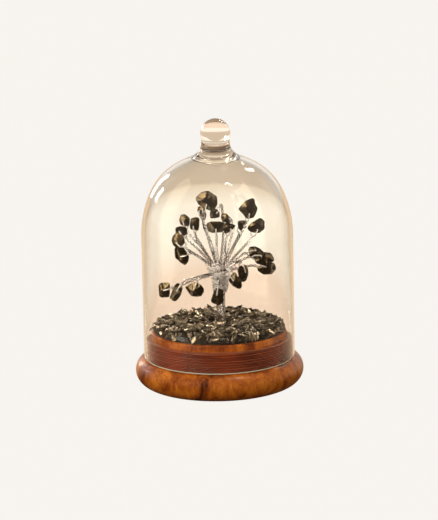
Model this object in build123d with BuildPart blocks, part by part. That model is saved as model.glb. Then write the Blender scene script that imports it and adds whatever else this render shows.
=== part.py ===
from build123d import *
from math import acos, asin, cos, degrees, hypot, pi, radians, sin, sqrt, tan
from random import Random
from typing import NamedTuple
import os

# Gemstone tree under a glass bell. The origin is at the middle of the base's underside, the
# front is -Y, +X is to the right and +Z is up. All lengths are millimetres.

# Wooden base, a flange with a full round edge and a plinth turned in one piece
base_diameter = 90.4
flange_thickness = 15.1
plinth_diameter = 71.6
plinth_height = 15.0
plinth_edge_radius = 0.9
socket_depth = 11.0
socket_clearance = 0.12

# Ribbed strip wrapped round the plinth, so that the bell fits without rattling
band_diameter = 77.0
band_height = 11.2
band_clearance = 0.1
band_edge_radius = 0.5
band_rib_count = 11
band_rib_depth = 0.28
band_groove_width = 0.4
band_seam_width = 0.5
band_seam_angle = -115.5

# Blown glass bell with a solid ball knob
bell_diameter = 81.2
bell_wall = 1.8
bell_wall_height = 66.1
bell_rim_rounding = 0.5
shoulder_radius = 58.4
shoulder_sweep = 23.1
crown_radius = 33.2
crown_end_angle = 72.7
neck_diameter = 15.0
knob_diameter = 16.1
knob_neck_length = 3.6
lens_diameter = 22.0
lens_drop = 3.2

# Bed of chips set in resin on the plinth
bed_diameter = 70.6
bed_edge_height = 1.5
bed_crown_height = 2.8
chip_count = 120
chip_length = 5.2
chip_width = 3.9
chip_heights = (1.3, 1.7, 2.1)
chip_depth = 0.35
chip_edge_inset = 1.6
chip_trunk_gap = 1.0
chip_tilt_limit = 17.0
chip_taper = 24.0
chip_seed = 5

# Twisted wire trunk with the core that its winding sits on and the head that the branches leave
wire_diameter = 0.5
trunk_offset = 1.2
trunk_diameter = 4.8
trunk_upper_diameter = 5.2
core_diameter = 6.6
core_bottom_height = 49.5
core_length = 8.2
core_shoulder_length = 2.6
head_diameter = 8.4
head_half_height = 6.4
crotch_height = 62.0
trunk_foot_chamfer = 0.4

# Winding round the trunk's core
winding_turns = 6
winding_pitch = 1.08
winding_clearance = 0.08
winding_start_rise = 0.9
winding_lean = 0.45
winding_lean_angle = 40.0
winding_tail = wire_diameter

# Branches, each a twisted pair of wires that ends in a loop through its stone
pair_diameter = 1.0
branch_seat_depth = 0.6
branch_seat_clearance = 0.05
branch_bend_limit = 9.0
branch_approach = 2.0
loop_lead = 1.3
loop_clearance = 0.3
loop_root_length = 0.6
loop_bend = 0.5
strand_share = 0.44

# Stones, tumbled and drilled
crown_reach = 36.0
crown_height = 43.0
stone_size = 10.0
stone_hole_diameter = 1.2
stone_hole_inset = 1.9
stone_section_shares = ((-1.0, 0.62), (0.1, 1.0), (1.0, 0.66))
stone_edge_share = 0.15

# Largest part of a run that a bend may take, and one overrun for every cut
run_share = 0.45
overrun = 1.0


class StoneRow(NamedTuple):
    """Place, facing and shape of one stone, chosen by hand from the photograph."""

    across_share: float
    depth_share: float
    height_share: float
    turn: float
    tilt: float
    hang: float
    length_share: float
    width_share: float
    thickness_share: float
    outline: str
    bow_share: float


# Outlines run round the stone from the end with the hole, in shares of half its length and width
outline_shares = {
    "pebble": (
        (-1.0, -0.45), (-0.5, -0.95), (0.45, -1.0), (1.0, -0.35),
        (0.85, 0.5), (0.2, 1.0), (-0.6, 0.9), (-1.0, 0.3),
    ),
    "heart": (
        (-1.0, -0.5), (-0.2, -1.0), (0.7, -0.75), (1.0, 0.1),
        (0.55, 0.8), (-0.15, 1.0), (-0.95, 0.55),
    ),
    "oval": (
        (-1.0, -0.4), (-0.55, -0.9), (0.5, -1.0), (1.0, -0.4),
        (0.95, 0.45), (0.4, 0.95), (-0.6, 1.0), (-1.0, 0.4),
    ),
    "wedge": ((-1.0, -0.6), (0.1, -1.0), (0.8, -0.6), (1.0, 0.15), (0.3, 0.95), (-0.9, 0.7)),
    "block": ((-1.0, -0.8), (-0.1, -1.0), (0.9, -0.85), (1.0, 0.7), (0.1, 1.0), (-0.95, 0.8)),
    "tooth": (
        (-1.0, -0.7), (-0.2, -1.0), (0.55, -0.8), (1.0, -0.1),
        (0.75, 0.5), (-0.1, 0.9), (-1.0, 0.75),
    ),
}

# The places are shares of the crown's reach and height, the sizes are shares of the stone size
stone_rows = (
    StoneRow(-0.15, -0.06, 0.90, 12, 8, 72, 1.10, 1.18, 0.50, "pebble", 0.03),
    StoneRow(-0.23, 0.25, 0.72, -35, 10, 108, 0.66, 0.62, 0.36, "oval", -0.04),
    StoneRow(-0.21, 0.48, 0.60, 15, -10, 95, 0.66, 0.60, 0.36, "wedge", 0.05),
    StoneRow(-0.03, 0.36, 0.65, 20, 5, 228, 0.64, 0.58, 0.36, "oval", 0.05),
    StoneRow(-0.01, -0.42, 0.64, -5, -15, 88, 0.62, 0.98, 0.44, "oval", 0.03),
    StoneRow(0.18, -0.16, 0.58, 25, 0, 70, 0.72, 0.66, 0.42, "tooth", -0.03),
    StoneRow(0.14, 0.17, 0.63, 30, 20, 122, 0.78, 0.54, 0.40, "oval", 0.04),
    StoneRow(-0.49, 0.50, 0.54, -25, 15, 112, 0.72, 0.60, 0.38, "block", 0.02),
    StoneRow(-0.34, 0.20, 0.55, -15, 0, 96, 0.78, 0.56, 0.38, "tooth", -0.03),
    StoneRow(-0.54, 0.10, 0.49, -30, 10, 138, 0.66, 0.62, 0.38, "wedge", 0.03),
    StoneRow(-0.58, -0.32, 0.46, -35, -5, 150, 0.84, 0.66, 0.42, "oval", -0.02),
    StoneRow(-0.54, -0.06, 0.22, -20, -10, 196, 0.72, 1.08, 0.44, "block", -0.02),
    StoneRow(0.47, -0.03, 0.78, 15, -5, 82, 1.15, 0.96, 0.46, "heart", -0.03),
    StoneRow(0.58, -0.28, 0.61, 25, -5, 62, 0.95, 0.90, 0.42, "pebble", 0.02),
    StoneRow(0.37, 0.40, 0.49, 40, 10, 55, 0.66, 0.54, 0.38, "wedge", 0.03),
    StoneRow(0.58, 0.30, 0.15, 20, 40, 12, 0.80, 0.56, 0.40, "oval", 0.03),
    StoneRow(0.69, 0.02, 0.14, 10, 38, -4, 1.05, 0.58, 0.42, "oval", -0.03),
    StoneRow(0.73, -0.26, 0.07, 15, 25, -12, 1.00, 0.60, 0.42, "pebble", 0.03),
    StoneRow(0.38, -0.36, 0.04, 30, -5, -68, 0.94, 0.66, 0.42, "oval", 0.03),
    StoneRow(0.26, -0.52, -0.02, -15, -10, -58, 0.92, 0.76, 0.44, "tooth", -0.03),
    StoneRow(-0.01, -0.31, -0.25, -12, 0, -98, 0.88, 0.76, 0.42, "wedge", 0.02),
    StoneRow(-0.80, -0.03, -0.22, -12, 5, 196, 0.62, 0.80, 0.42, "block", 0.03),
    StoneRow(-0.61, -0.24, -0.21, -20, 0, 236, 0.96, 0.66, 0.42, "oval", -0.03),
    StoneRow(-0.35, -0.45, -0.13, -10, -5, -112, 0.80, 0.98, 0.46, "pebble", 0.03),
)

# Sizes that follow from those above
base_radius = base_diameter / 2
nose_radius = flange_thickness / 2
plinth_radius = plinth_diameter / 2
plinth_top = flange_thickness + plinth_height
band_radius = band_diameter / 2
band_inner_radius = plinth_radius + band_clearance
bell_radius = bell_diameter / 2
rim_height = flange_thickness
spring_height = rim_height + bell_wall_height
trunk_radius = trunk_diameter / 2
core_radius = core_diameter / 2
core_top_height = core_bottom_height + core_length
head_radius = head_diameter / 2
wire_radius = wire_diameter / 2
pair_radius = pair_diameter / 2
trunk_axis = Axis((trunk_offset, 0, 0), (0, 0, 1))
trunk_plane = Plane(origin=(trunk_offset, 0, 0), x_dir=(1, 0, 0), z_dir=(0, -1, 0))
head_centre = Vector(trunk_offset, 0, crotch_height)
golden_angle = pi * (3 - sqrt(5))


def keep(builder, name):
    """Names a finished piece and writes its file."""
    builder.part.label = name
    export_step(builder.part, f"parts/{name}.step")


def bed_height(reach):
    """Height of the resin's crowned surface at a distance from the base's axis."""
    fall = (reach / (bed_diameter / 2)) ** 2
    return plinth_top + bed_crown_height - (bed_crown_height - bed_edge_height) * fall


def biarc(start, start_tangent, end, end_tangent):
    """Draws two arcs that run from one point and direction to the next and meet smoothly."""
    chord = end - start
    both = start_tangent + end_tangent
    spread = 2 * (1 - start_tangent.dot(end_tangent))
    along = chord.dot(both)
    handle = (sqrt(along**2 + spread * chord.dot(chord)) - along) / spread
    start_handle = start + start_tangent * handle
    end_handle = end - end_tangent * handle
    middle = (start_handle + end_handle) / 2
    TangentArc(start, middle, tangent=start_tangent)
    TangentArc(middle, end, tangent=(end_handle - start_handle).normalized())


def bend_radii(points, limit):
    """Radius for each corner of a bent wire, as large as its two runs allow."""
    radii = []
    for before, corner, after in zip(points, points[1:], points[2:]):
        shorter = min((corner - before).length, (after - corner).length)
        half_turn = radians((corner - before).get_angle(after - corner) / 2)
        radii.append(min(limit, run_share * shorter / tan(half_turn)))
    return radii


os.makedirs("parts", exist_ok=True)

# The base: flange, plinth and the socket that holds the trunk's foot
with BuildPart() as wood_base:
    with BuildSketch(Plane.XZ):
        with BuildLine():
            Line((0, 0), (base_radius - nose_radius, 0))
            CenterArc((base_radius - nose_radius, nose_radius), nose_radius, -90, 180)
            Line((base_radius - nose_radius, flange_thickness), (plinth_radius, flange_thickness))
            Line((plinth_radius, flange_thickness), (plinth_radius, plinth_top))
            Line((plinth_radius, plinth_top), (0, plinth_top))
            Line((0, plinth_top), (0, 0))
        make_face()
    revolve(axis=Axis.Z)
    fillet(wood_base.edges().group_by(Axis.Z)[-1], radius=plinth_edge_radius)
    with Locations((trunk_offset, 0, plinth_top)):
        Hole(radius=trunk_radius + socket_clearance, depth=socket_depth)
keep(wood_base, "wood_base")

# The ribbed strip round the plinth, with the gap where its ends meet
groove_pitch = band_height / (band_rib_count + 1)
with BuildPart() as fit_band:
    with BuildSketch(Plane.XZ) as band_section:
        band_thickness = band_radius - band_inner_radius
        with Locations((band_inner_radius, flange_thickness)):
            Rectangle(band_thickness, band_height, align=(Align.MIN, Align.MIN))
        fillet(band_section.vertices().group_by(Axis.X)[-1], radius=band_edge_radius)
        for rib in range(1, band_rib_count + 1):
            with Locations((band_radius, flange_thickness + rib * groove_pitch)):
                Rectangle(2 * band_rib_depth, band_groove_width, mode=Mode.SUBTRACT)
    revolve(axis=Axis.Z)
    seam_plane = Plane(origin=(0, 0, flange_thickness)).rotated((0, 0, band_seam_angle))
    with BuildSketch(seam_plane):
        with Locations((band_radius, 0)):
            Rectangle(2 * band_thickness + 2 * overrun, band_seam_width)
    extrude(amount=band_height + overrun, mode=Mode.SUBTRACT)
keep(fit_band, "fit_band")


def polar(centre, radius, angle):
    """Point at an angle in degrees round a centre in the plane of a turned outline."""
    return (centre[0] + radius * cos(radians(angle)), centre[1] + radius * sin(radians(angle)))


# The bell: wall, wide shoulder arc, crown arc, flare, neck, ball knob, and the lens under the knob
shoulder_centre = (bell_radius - shoulder_radius, spring_height)
crown_centre = polar(shoulder_centre, shoulder_radius - crown_radius, shoulder_sweep)
crown_end = polar(crown_centre, crown_radius, crown_end_angle)
neck_radius = neck_diameter / 2
flare_radius = (crown_end[0] - neck_radius) / (1 - cos(radians(crown_end_angle)))
flare_centre = polar(crown_end, flare_radius, crown_end_angle)
knob_radius = knob_diameter / 2
knob_height = flare_centre[1] + knob_neck_length
knob_start_angle = degrees(acos(neck_radius / knob_radius))
knob_start = polar((0, knob_height), knob_radius, -knob_start_angle)
inner_crown_radius = crown_radius - bell_wall
lens_radius = lens_diameter / 2
lens_angle = degrees(acos((lens_radius - crown_centre[0]) / inner_crown_radius))
lens_edge = polar(crown_centre, inner_crown_radius, lens_angle)
lens_bow = (lens_radius**2 + lens_drop**2) / (2 * lens_drop)
lens_bottom = lens_edge[1] - lens_drop
lens_sweep = degrees(asin(lens_radius / lens_bow))
with BuildPart() as glass_dome:
    with BuildSketch(Plane.XZ) as bell_section:
        with BuildLine():
            Line((bell_radius - bell_wall, rim_height), (bell_radius, rim_height))
            Line((bell_radius, rim_height), (bell_radius, spring_height))
            CenterArc(shoulder_centre, shoulder_radius, 0, shoulder_sweep)
            CenterArc(crown_centre, crown_radius, shoulder_sweep, crown_end_angle - shoulder_sweep)
            CenterArc(flare_centre, flare_radius, 180, crown_end_angle)
            Line((neck_radius, flare_centre[1]), knob_start)
            CenterArc((0, knob_height), knob_radius, -knob_start_angle, 90 + knob_start_angle)
            Line((0, knob_height + knob_radius), (0, lens_bottom))
            CenterArc((0, lens_bottom + lens_bow), lens_bow, -90, lens_sweep)
            CenterArc(crown_centre, inner_crown_radius, shoulder_sweep, lens_angle - shoulder_sweep)
            CenterArc(shoulder_centre, shoulder_radius - bell_wall, 0, shoulder_sweep)
            Line((bell_radius - bell_wall, spring_height), (bell_radius - bell_wall, rim_height))
        make_face()
        fillet(bell_section.vertices().group_by(Axis.Y)[0], radius=bell_rim_rounding)
    revolve(axis=Axis.Z)
keep(glass_dome, "glass_dome")

# The bed: a crowned pad of resin with chips standing in it, bored for the trunk
bed_radius = bed_diameter / 2
chip_random = Random(chip_seed)
chip_corner_shares = ((-1.0, 0.2), (-0.45, -0.95), (0.65, -0.8), (1.0, 0.25), (0.1, 1.0))
chip_span = bed_radius - chip_edge_inset
chip_clear_radius = trunk_radius + chip_length / 2 + chip_trunk_gap
chip_planes = []
for chip_index in range(chip_count):
    reach = chip_span * sqrt((chip_index + 1) / chip_count)
    bearing = chip_index * golden_angle
    chip_place = Vector(reach * cos(bearing), reach * sin(bearing), bed_height(reach) - chip_depth)
    chip_tilt = chip_random.uniform(-chip_tilt_limit, chip_tilt_limit)
    chip_lean = chip_random.uniform(-chip_tilt_limit, chip_tilt_limit)
    chip_turn = chip_random.uniform(0, 360)
    if hypot(chip_place.X - trunk_offset, chip_place.Y) > chip_clear_radius:
        chip_planes.append(Plane(chip_place).rotated((chip_tilt, chip_lean, chip_turn)))
with BuildPart() as chip_bed:
    with BuildSketch(Plane.XZ):
        with BuildLine():
            Line((0, plinth_top), (bed_radius, plinth_top))
            Line((bed_radius, plinth_top), (bed_radius, bed_height(bed_radius)))
            ThreePointArc(
                (bed_radius, bed_height(bed_radius)),
                (bed_radius / 2, bed_height(bed_radius / 2)),
                (0, bed_height(0)),
            )
            Line((0, bed_height(0)), (0, plinth_top))
        make_face()
    revolve(axis=Axis.Z)
    chip_corners = [
        (along_share * chip_length / 2, aside_share * chip_width / 2)
        for along_share, aside_share in chip_corner_shares
    ]
    for size_index, chip_height in enumerate(chip_heights):
        for chip_plane in chip_planes[size_index :: len(chip_heights)]:
            with BuildSketch(chip_plane):
                with BuildLine():
                    Polyline(chip_corners, close=True)
                make_face()
        extrude(amount=chip_depth + chip_height, taper=chip_taper)
    with BuildSketch(Plane.XY.offset(plinth_top)):
        with Locations((trunk_offset, 0)):
            Circle(trunk_radius + socket_clearance)
    extrude(amount=chip_length + bed_crown_height, mode=Mode.SUBTRACT)
keep(chip_bed, "chip_bed")

# Branches and stones are worked out first, because the trunk's head is pitted where they leave it
head_core_angle = degrees(acos(core_radius / head_radius))


class Branch(NamedTuple):
    """Planes and points that place one stone and the wires that carry it."""

    stone_plane: Plane
    route: list
    loop: list


def head_surface(direction):
    """Point of the trunk's head that lies in a direction from its middle."""
    flat = hypot(direction.X, direction.Y) / head_radius
    rise = direction.Z / head_half_height
    return head_centre + direction / hypot(flat, rise)


def plan_branch(row):
    """Works out where a stone sits and how its wires run from the trunk's head to its hole."""
    turn, tilt, hang = radians(row.turn), radians(row.tilt), radians(row.hang)
    facing = Vector(sin(turn) * cos(tilt), -cos(turn) * cos(tilt), sin(tilt))
    hanging = Vector(cos(hang), 0, sin(hang))
    along = (hanging - facing * hanging.dot(facing)).normalized()
    centre = Vector(
        row.across_share * crown_reach,
        row.depth_share * crown_reach,
        crotch_height + row.height_share * crown_height,
    )
    stone_plane = Plane(origin=centre, x_dir=along, z_dir=facing)
    edge = centre - along * (row.length_share * stone_size / 2)
    hole = edge + along * stone_hole_inset
    side = facing * (row.thickness_share * stone_size / 2 + loop_clearance + wire_radius)
    tip = edge - along * loop_lead
    bend = tip - along * branch_approach
    root = head_surface((bend - head_centre).normalized())
    outward = (bend - root).normalized()
    sideways = outward.cross(Vector(0, 0, 1)).normalized()
    middle = (root + bend) / 2 + sideways * (row.bow_share * (bend - root).length)
    first = (middle - root).normalized()
    route = [root - first * branch_seat_depth, middle, bend, tip]
    strand = facing * (strand_share * pair_radius)
    start = tip - along * loop_root_length
    outward_half = [start + strand, tip + strand, edge + side, hole + side]
    return_half = [hole - side, edge - side, tip - strand, start - strand]
    return Branch(stone_plane, route, outward_half + return_half)


branches = [plan_branch(row) for row in stone_rows]

# The trunk: foot, neck, core under the winding, and the head that the branches leave
trunk_foot = plinth_top - socket_depth
head_start = crotch_height - head_half_height * sin(radians(head_core_angle))
with BuildPart() as trunk:
    with BuildSketch(trunk_plane):
        with BuildLine():
            Polyline(
                (0, trunk_foot),
                (trunk_radius - trunk_foot_chamfer, trunk_foot),
                (trunk_radius, trunk_foot + trunk_foot_chamfer),
                (trunk_radius, plinth_top + bed_crown_height),
                (trunk_upper_diameter / 2, core_bottom_height - core_shoulder_length),
                (core_radius, core_bottom_height),
                (core_radius, head_start),
            )
            EllipticalCenterArc(
                (0, crotch_height), head_radius, head_half_height,
                start_angle=-head_core_angle, arc_size=head_core_angle + 90,
            )
            Line((0, crotch_height + head_half_height), (0, trunk_foot))
        make_face()
    revolve(axis=trunk_axis)
    for branch in branches:
        outward = branch.route[1] - branch.route[0]
        with BuildSketch(Plane(origin=branch.route[0], z_dir=outward)):
            Circle(pair_radius + branch_seat_clearance)
    extrude(amount=branch_seat_depth + overrun, mode=Mode.SUBTRACT)
keep(trunk, "trunk")

# The winding: one unbroken wire round the trunk's core, with a short straight tail at each end
winding_radius = core_radius + winding_clearance + wire_radius


def winding_point(turns):
    """Point of the winding's middle line after so many turns."""
    angle = 2 * pi * turns
    rise = winding_pitch * turns + winding_lean * cos(angle - radians(winding_lean_angle))
    start = core_bottom_height + winding_start_rise
    return Vector(trunk_offset + winding_radius * cos(angle), winding_radius * sin(angle), start + rise)


def winding_tangent(turns):
    """Direction of the winding after so many turns."""
    angle = 2 * pi * turns
    rise = winding_pitch / (2 * pi) - winding_lean * sin(angle - radians(winding_lean_angle))
    return Vector(-winding_radius * sin(angle), winding_radius * cos(angle), rise).normalized()


quarter_count = 4 * winding_turns
with BuildPart() as trunk_binding:
    with BuildLine() as winding_path:
        first, last = winding_point(0), winding_point(winding_turns)
        Line(first - winding_tangent(0) * winding_tail, first)
        for quarter in range(quarter_count):
            begin, end = quarter / 4, (quarter + 1) / 4
            biarc(winding_point(begin), winding_tangent(begin), winding_point(end), winding_tangent(end))
        Line(last, last + winding_tangent(winding_turns) * winding_tail)
    with BuildSketch(Plane(origin=winding_path.line @ 0, z_dir=winding_path.line % 0)):
        Circle(wire_radius)
    sweep(path=winding_path.line)
keep(trunk_binding, "trunk_binding")

# The winding's least gap to itself, measured on points three quarters of a turn or more apart
gap_steps = 24
trail = [winding_point(step / gap_steps) for step in range(gap_steps * winding_turns + 1)]
far_steps = gap_steps * 3 // 4
winding_gap = min(
    (here - there).length for index, here in enumerate(trail) for there in trail[index + far_steps :]
) - wire_diameter
print(f"winding: least gap to itself {winding_gap:.2f} mm")

# The stones, tumbled and drilled near one end
for number, (row, branch) in enumerate(zip(stone_rows, branches), start=1):
    half_length = row.length_share * stone_size / 2
    half_width = row.width_share * stone_size / 2
    half_thickness = row.thickness_share * stone_size / 2
    with BuildPart() as stone:
        for level_share, spread_share in stone_section_shares:
            with BuildSketch(branch.stone_plane.offset(level_share * half_thickness)):
                with BuildLine():
                    corners = [
                        (along * half_length * spread_share, aside * half_width * spread_share)
                        for along, aside in outline_shares[row.outline]
                    ]
                    Polyline(corners, close=True)
                make_face()
        loft(ruled=True)
        fillet(stone.edges(), radius=stone_edge_share * 2 * half_thickness)
        with BuildSketch(branch.stone_plane):
            with Locations((stone_hole_inset - half_length, 0)):
                Circle(stone_hole_diameter / 2)
        extrude(amount=half_thickness + overrun, both=True, mode=Mode.SUBTRACT)
    keep(stone, f"stone_{number:02d}")

# The branches: a twisted pair as one rod, and the single wire that loops through the stone
for number, branch in enumerate(branches, start=1):
    with BuildPart() as twig:
        with BuildLine() as twig_line:
            FilletPolyline(*branch.route, radius=bend_radii(branch.route, branch_bend_limit))
        with BuildSketch(Plane(origin=twig_line.line @ 0, z_dir=twig_line.line % 0)):
            Circle(pair_radius)
        sweep(path=twig_line.line)
        with BuildLine() as loop_line:
            FilletPolyline(*branch.loop, radius=bend_radii(branch.loop, loop_bend))
        with BuildSketch(Plane(origin=loop_line.line @ 0, z_dir=loop_line.line % 0)):
            Circle(wire_radius)
        sweep(path=loop_line.line)
    keep(twig, f"branch_{number:02d}")
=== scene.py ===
"""Gemstone tree under a glass bell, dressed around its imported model.

The frame is the model's own: metres, +X to the right, the front towards -Y and +Z up, with the
origin at the middle of the base's underside. Each sub-assembly is a class that builds its meshes
in place, and each finish is a small class that makes one node-based material.
"""

import logging
import math
from dataclasses import dataclass
from random import Random
from typing import NamedTuple, Sequence

import bmesh
import bpy
import numpy as np
from mathutils import Matrix, Vector, noise


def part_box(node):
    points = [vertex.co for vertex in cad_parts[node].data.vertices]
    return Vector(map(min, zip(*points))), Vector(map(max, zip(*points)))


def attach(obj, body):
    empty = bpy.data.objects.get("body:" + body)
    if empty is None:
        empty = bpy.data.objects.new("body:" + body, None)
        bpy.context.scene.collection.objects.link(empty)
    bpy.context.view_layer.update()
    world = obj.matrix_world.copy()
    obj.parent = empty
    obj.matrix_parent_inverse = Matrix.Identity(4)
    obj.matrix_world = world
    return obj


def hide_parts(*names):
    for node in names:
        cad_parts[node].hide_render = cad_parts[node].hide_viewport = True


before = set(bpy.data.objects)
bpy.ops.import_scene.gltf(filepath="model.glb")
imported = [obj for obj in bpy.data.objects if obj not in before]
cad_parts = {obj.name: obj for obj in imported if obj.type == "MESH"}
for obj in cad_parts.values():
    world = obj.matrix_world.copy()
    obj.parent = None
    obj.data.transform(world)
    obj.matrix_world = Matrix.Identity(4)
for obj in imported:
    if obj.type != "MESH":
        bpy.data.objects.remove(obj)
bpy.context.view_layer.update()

MM = 0.001
TINY = 1e-7
PARALLEL = 1e-12
SLIVER = 1e-9
BEND_STEPS = 8
STAND = "stand"
BELL = "bell"
SPREAD = "spread"

Colour = tuple[float, float, float, float]
Point = tuple[float, float]
Triple = tuple[float, float, float]

log = logging.getLogger("gemstone_tree")


def srgb(red: float, green: float, blue: float) -> Colour:
    """Turns a colour of 0 to 255 as a screen shows it into the light values of a shader.

    Args:
        red: Share of red.
        green: Share of green.
        blue: Share of blue.

    Returns:
        The linear colour, with an alpha of 1.
    """

    def linear(channel: float) -> float:
        """Undoes the screen's curve for one channel."""
        share = channel / 255
        return share / 12.92 if share <= 0.04045 else ((share + 0.055) / 1.055) ** 2.4

    return (linear(red), linear(green), linear(blue), 1.0)


class Signal:
    """The output socket of a node, which takes part in sums on values or on vectors."""

    def __init__(self, book: "NodeBook", socket: bpy.types.NodeSocket) -> None:
        """Keeps the tree that the socket belongs to."""
        self.book = book
        self.socket = socket

    def _with(self, operation: str, first: object, second: object) -> "Signal":
        """Adds the Math or Vector Math node of one operation.

        Args:
            operation: The operation's name.
            first: Its first value or signal.
            second: Its second value or signal.

        Returns:
            The result.
        """
        vectors = "VECTOR" in (kind_of(first), kind_of(second))
        kind = "ShaderNodeVectorMath" if vectors else "ShaderNodeMath"
        return self.book.add(kind, {"operation": operation}, {0: first, 1: second})

    def __add__(self, other: object) -> "Signal":
        """This plus another."""
        return self._with("ADD", self, other)

    def __sub__(self, other: object) -> "Signal":
        """This minus another."""
        return self._with("SUBTRACT", self, other)

    def __rsub__(self, other: object) -> "Signal":
        """Another minus this."""
        return self._with("SUBTRACT", other, self)

    def __mul__(self, other: object) -> "Signal":
        """This times another."""
        return self._with("MULTIPLY", self, other)

    def __truediv__(self, other: object) -> "Signal":
        """This divided by another."""
        return self._with("DIVIDE", self, other)

    def to(self, operation: str, other: float = 0.0) -> "Signal":
        """This value after a named Math operation."""
        return self.book.add("ShaderNodeMath", {"operation": operation}, {0: self, 1: other})

    def spread(self, low: float, high: float, to_low: float = 0.0, to_high: float = 1.0) -> "Signal":
        """Maps a range of this value to another range, held at its ends.

        Args:
            low: Value that becomes to_low.
            high: Value that becomes to_high.
            to_low: First end of the new range.
            to_high: Last end of the new range.

        Returns:
            The mapped value.
        """
        ends = {0: self, 1: low, 2: high, 3: to_low, 4: to_high}
        return self.book.add("ShaderNodeMapRange", {"clamp": True}, ends)


def kind_of(value: object) -> str:
    """A value's kind, as a socket's type."""
    plain = "VECTOR" if isinstance(value, (tuple, Vector)) else "VALUE"
    return value.socket.type if isinstance(value, Signal) else plain


class NodeBook:
    """Writes the nodes of one tree, for a material, the world or a geometry modifier."""

    def __init__(self, tree: bpy.types.NodeTree) -> None:
        """Empties the tree."""
        self.tree = tree
        tree.nodes.clear()

    def add(
        self,
        kind: str,
        settings: dict[str, object] | None = None,
        inputs: dict[str | int, object] | None = None,
        output: str | int = 0,
    ) -> Signal:
        """Adds a node, sets it up and feeds it.

        Args:
            kind: The node's type.
            settings: Its own settings, with stops for the colours of a ramp.
            inputs: Values or signals for its sockets.
            output: The socket that is handed back.

        Returns:
            The chosen output.
        """
        node = self.tree.nodes.new(kind)
        for name, value in (settings or {}).items():
            if name == "stops":
                self._set_stops(node.color_ramp, value)
            else:
                setattr(node, name, value)
        for name, value in (inputs or {}).items():
            self.feed(node.inputs[name], value)
        return Signal(self, node.outputs[output]) if node.outputs else Signal(self, node.inputs[0])

    def feed(self, socket: bpy.types.NodeSocket, value: object) -> None:
        """Links a signal to a socket, or sets the socket's own value.

        Args:
            socket: The socket that is fed.
            value: A signal, a colour, a vector or a number.
        """
        if isinstance(value, Signal):
            self.tree.links.new(value.socket, socket)
        elif socket.type == "VECTOR" and isinstance(value, (int, float)):
            socket.default_value = (value, value, value)
        else:
            socket.default_value = value

    def blend(self, share: Signal | float, first: object, second: object) -> Signal:
        """Blends two colours.

        Args:
            share: How much of the second shows.
            first: A colour or a signal.
            second: A colour or a signal.

        Returns:
            The blended colour.
        """
        return self.add("ShaderNodeMix", {"data_type": "RGBA"}, {0: share, 6: first, 7: second}, output=2)

    @staticmethod
    def _set_stops(ramp: bpy.types.ColorRamp, stops: Sequence[tuple[float, Colour]]) -> None:
        """Gives a ramp its colours in order.

        Args:
            ramp: The ramp.
            stops: Places from 0 to 1 and their colours.
        """
        while len(ramp.elements) > 1:
            ramp.elements.remove(ramp.elements[-1])
        for index, (place, colour) in enumerate(stops):
            element = ramp.elements[0] if index == 0 else ramp.elements.new(place)
            element.position = place
            element.color = colour


class Finish(NodeBook):
    """A node-based material and the nodes that most finishes share."""

    def __init__(self, name: str) -> None:
        """Makes an empty material.

        Args:
            name: The material's name.
        """
        self.material = bpy.data.materials.new(name)
        self.material.use_nodes = True
        super().__init__(self.material.node_tree)

    def place(self) -> Signal:
        """The point on the object, in millimetres."""
        where = self.add("ShaderNodeTexCoord", output="Object")
        return where * (1 / MM)

    def parts(self, vector: Signal) -> tuple[Signal, Signal, Signal]:
        """The three shares of a vector."""
        outputs = self.add("ShaderNodeSeparateXYZ", inputs={0: vector}).socket.node.outputs
        return tuple(Signal(self, outputs[index]) for index in range(3))

    def clouds(
        self, where: Signal, scale: float, detail: float = 2.0, rough: float = 0.5, swirl: float = 0.0
    ) -> Signal:
        """Soft noise from 0 to 1.

        Args:
            where: The point, in millimetres.
            scale: Clouds in a millimetre.
            detail: How many finer layers it has.
            rough: How strong the finer layers are.
            swirl: How far it is distorted.

        Returns:
            The noise's value.
        """
        sizes = {"Vector": where, "Scale": scale, "Detail": detail, "Roughness": rough, "Distortion": swirl}
        return self.add("ShaderNodeTexNoise", inputs=sizes)

    def cells(self, where: Signal, scale: float, output: str = "Distance") -> Signal:
        """Cells of a Voronoi pattern, as the distance to the nearest middle or a colour."""
        return self.add("ShaderNodeTexVoronoi", inputs={"Vector": where, "Scale": scale}, output=output)

    def bump(self, height: Signal, depth: float, strength: float = 1.0) -> Signal:
        """A normal bent by a height from 0 to 1 that stands for a depth in metres."""
        return self.add("ShaderNodeBump", inputs={"Height": height, "Distance": depth, "Strength": strength})

    def surface(self, shader: Signal, volume: Signal | None = None) -> bpy.types.Material:
        """Sets the shader that the material shows and hands the material back.

        Args:
            shader: What its surface shows.
            volume: What fills it, if it is clear.

        Returns:
            The finished material.
        """
        shown = {"Surface": shader} if volume is None else {"Surface": shader, "Volume": volume}
        self.add("ShaderNodeOutputMaterial", inputs=shown)
        return self.material

    def principled(self, **sockets: object) -> Signal:
        """A Principled shader, its sockets named with _ for a space."""
        named = {name.replace("_", " "): value for name, value in sockets.items()}
        return self.add("ShaderNodeBsdfPrincipled", inputs=named)


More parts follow.
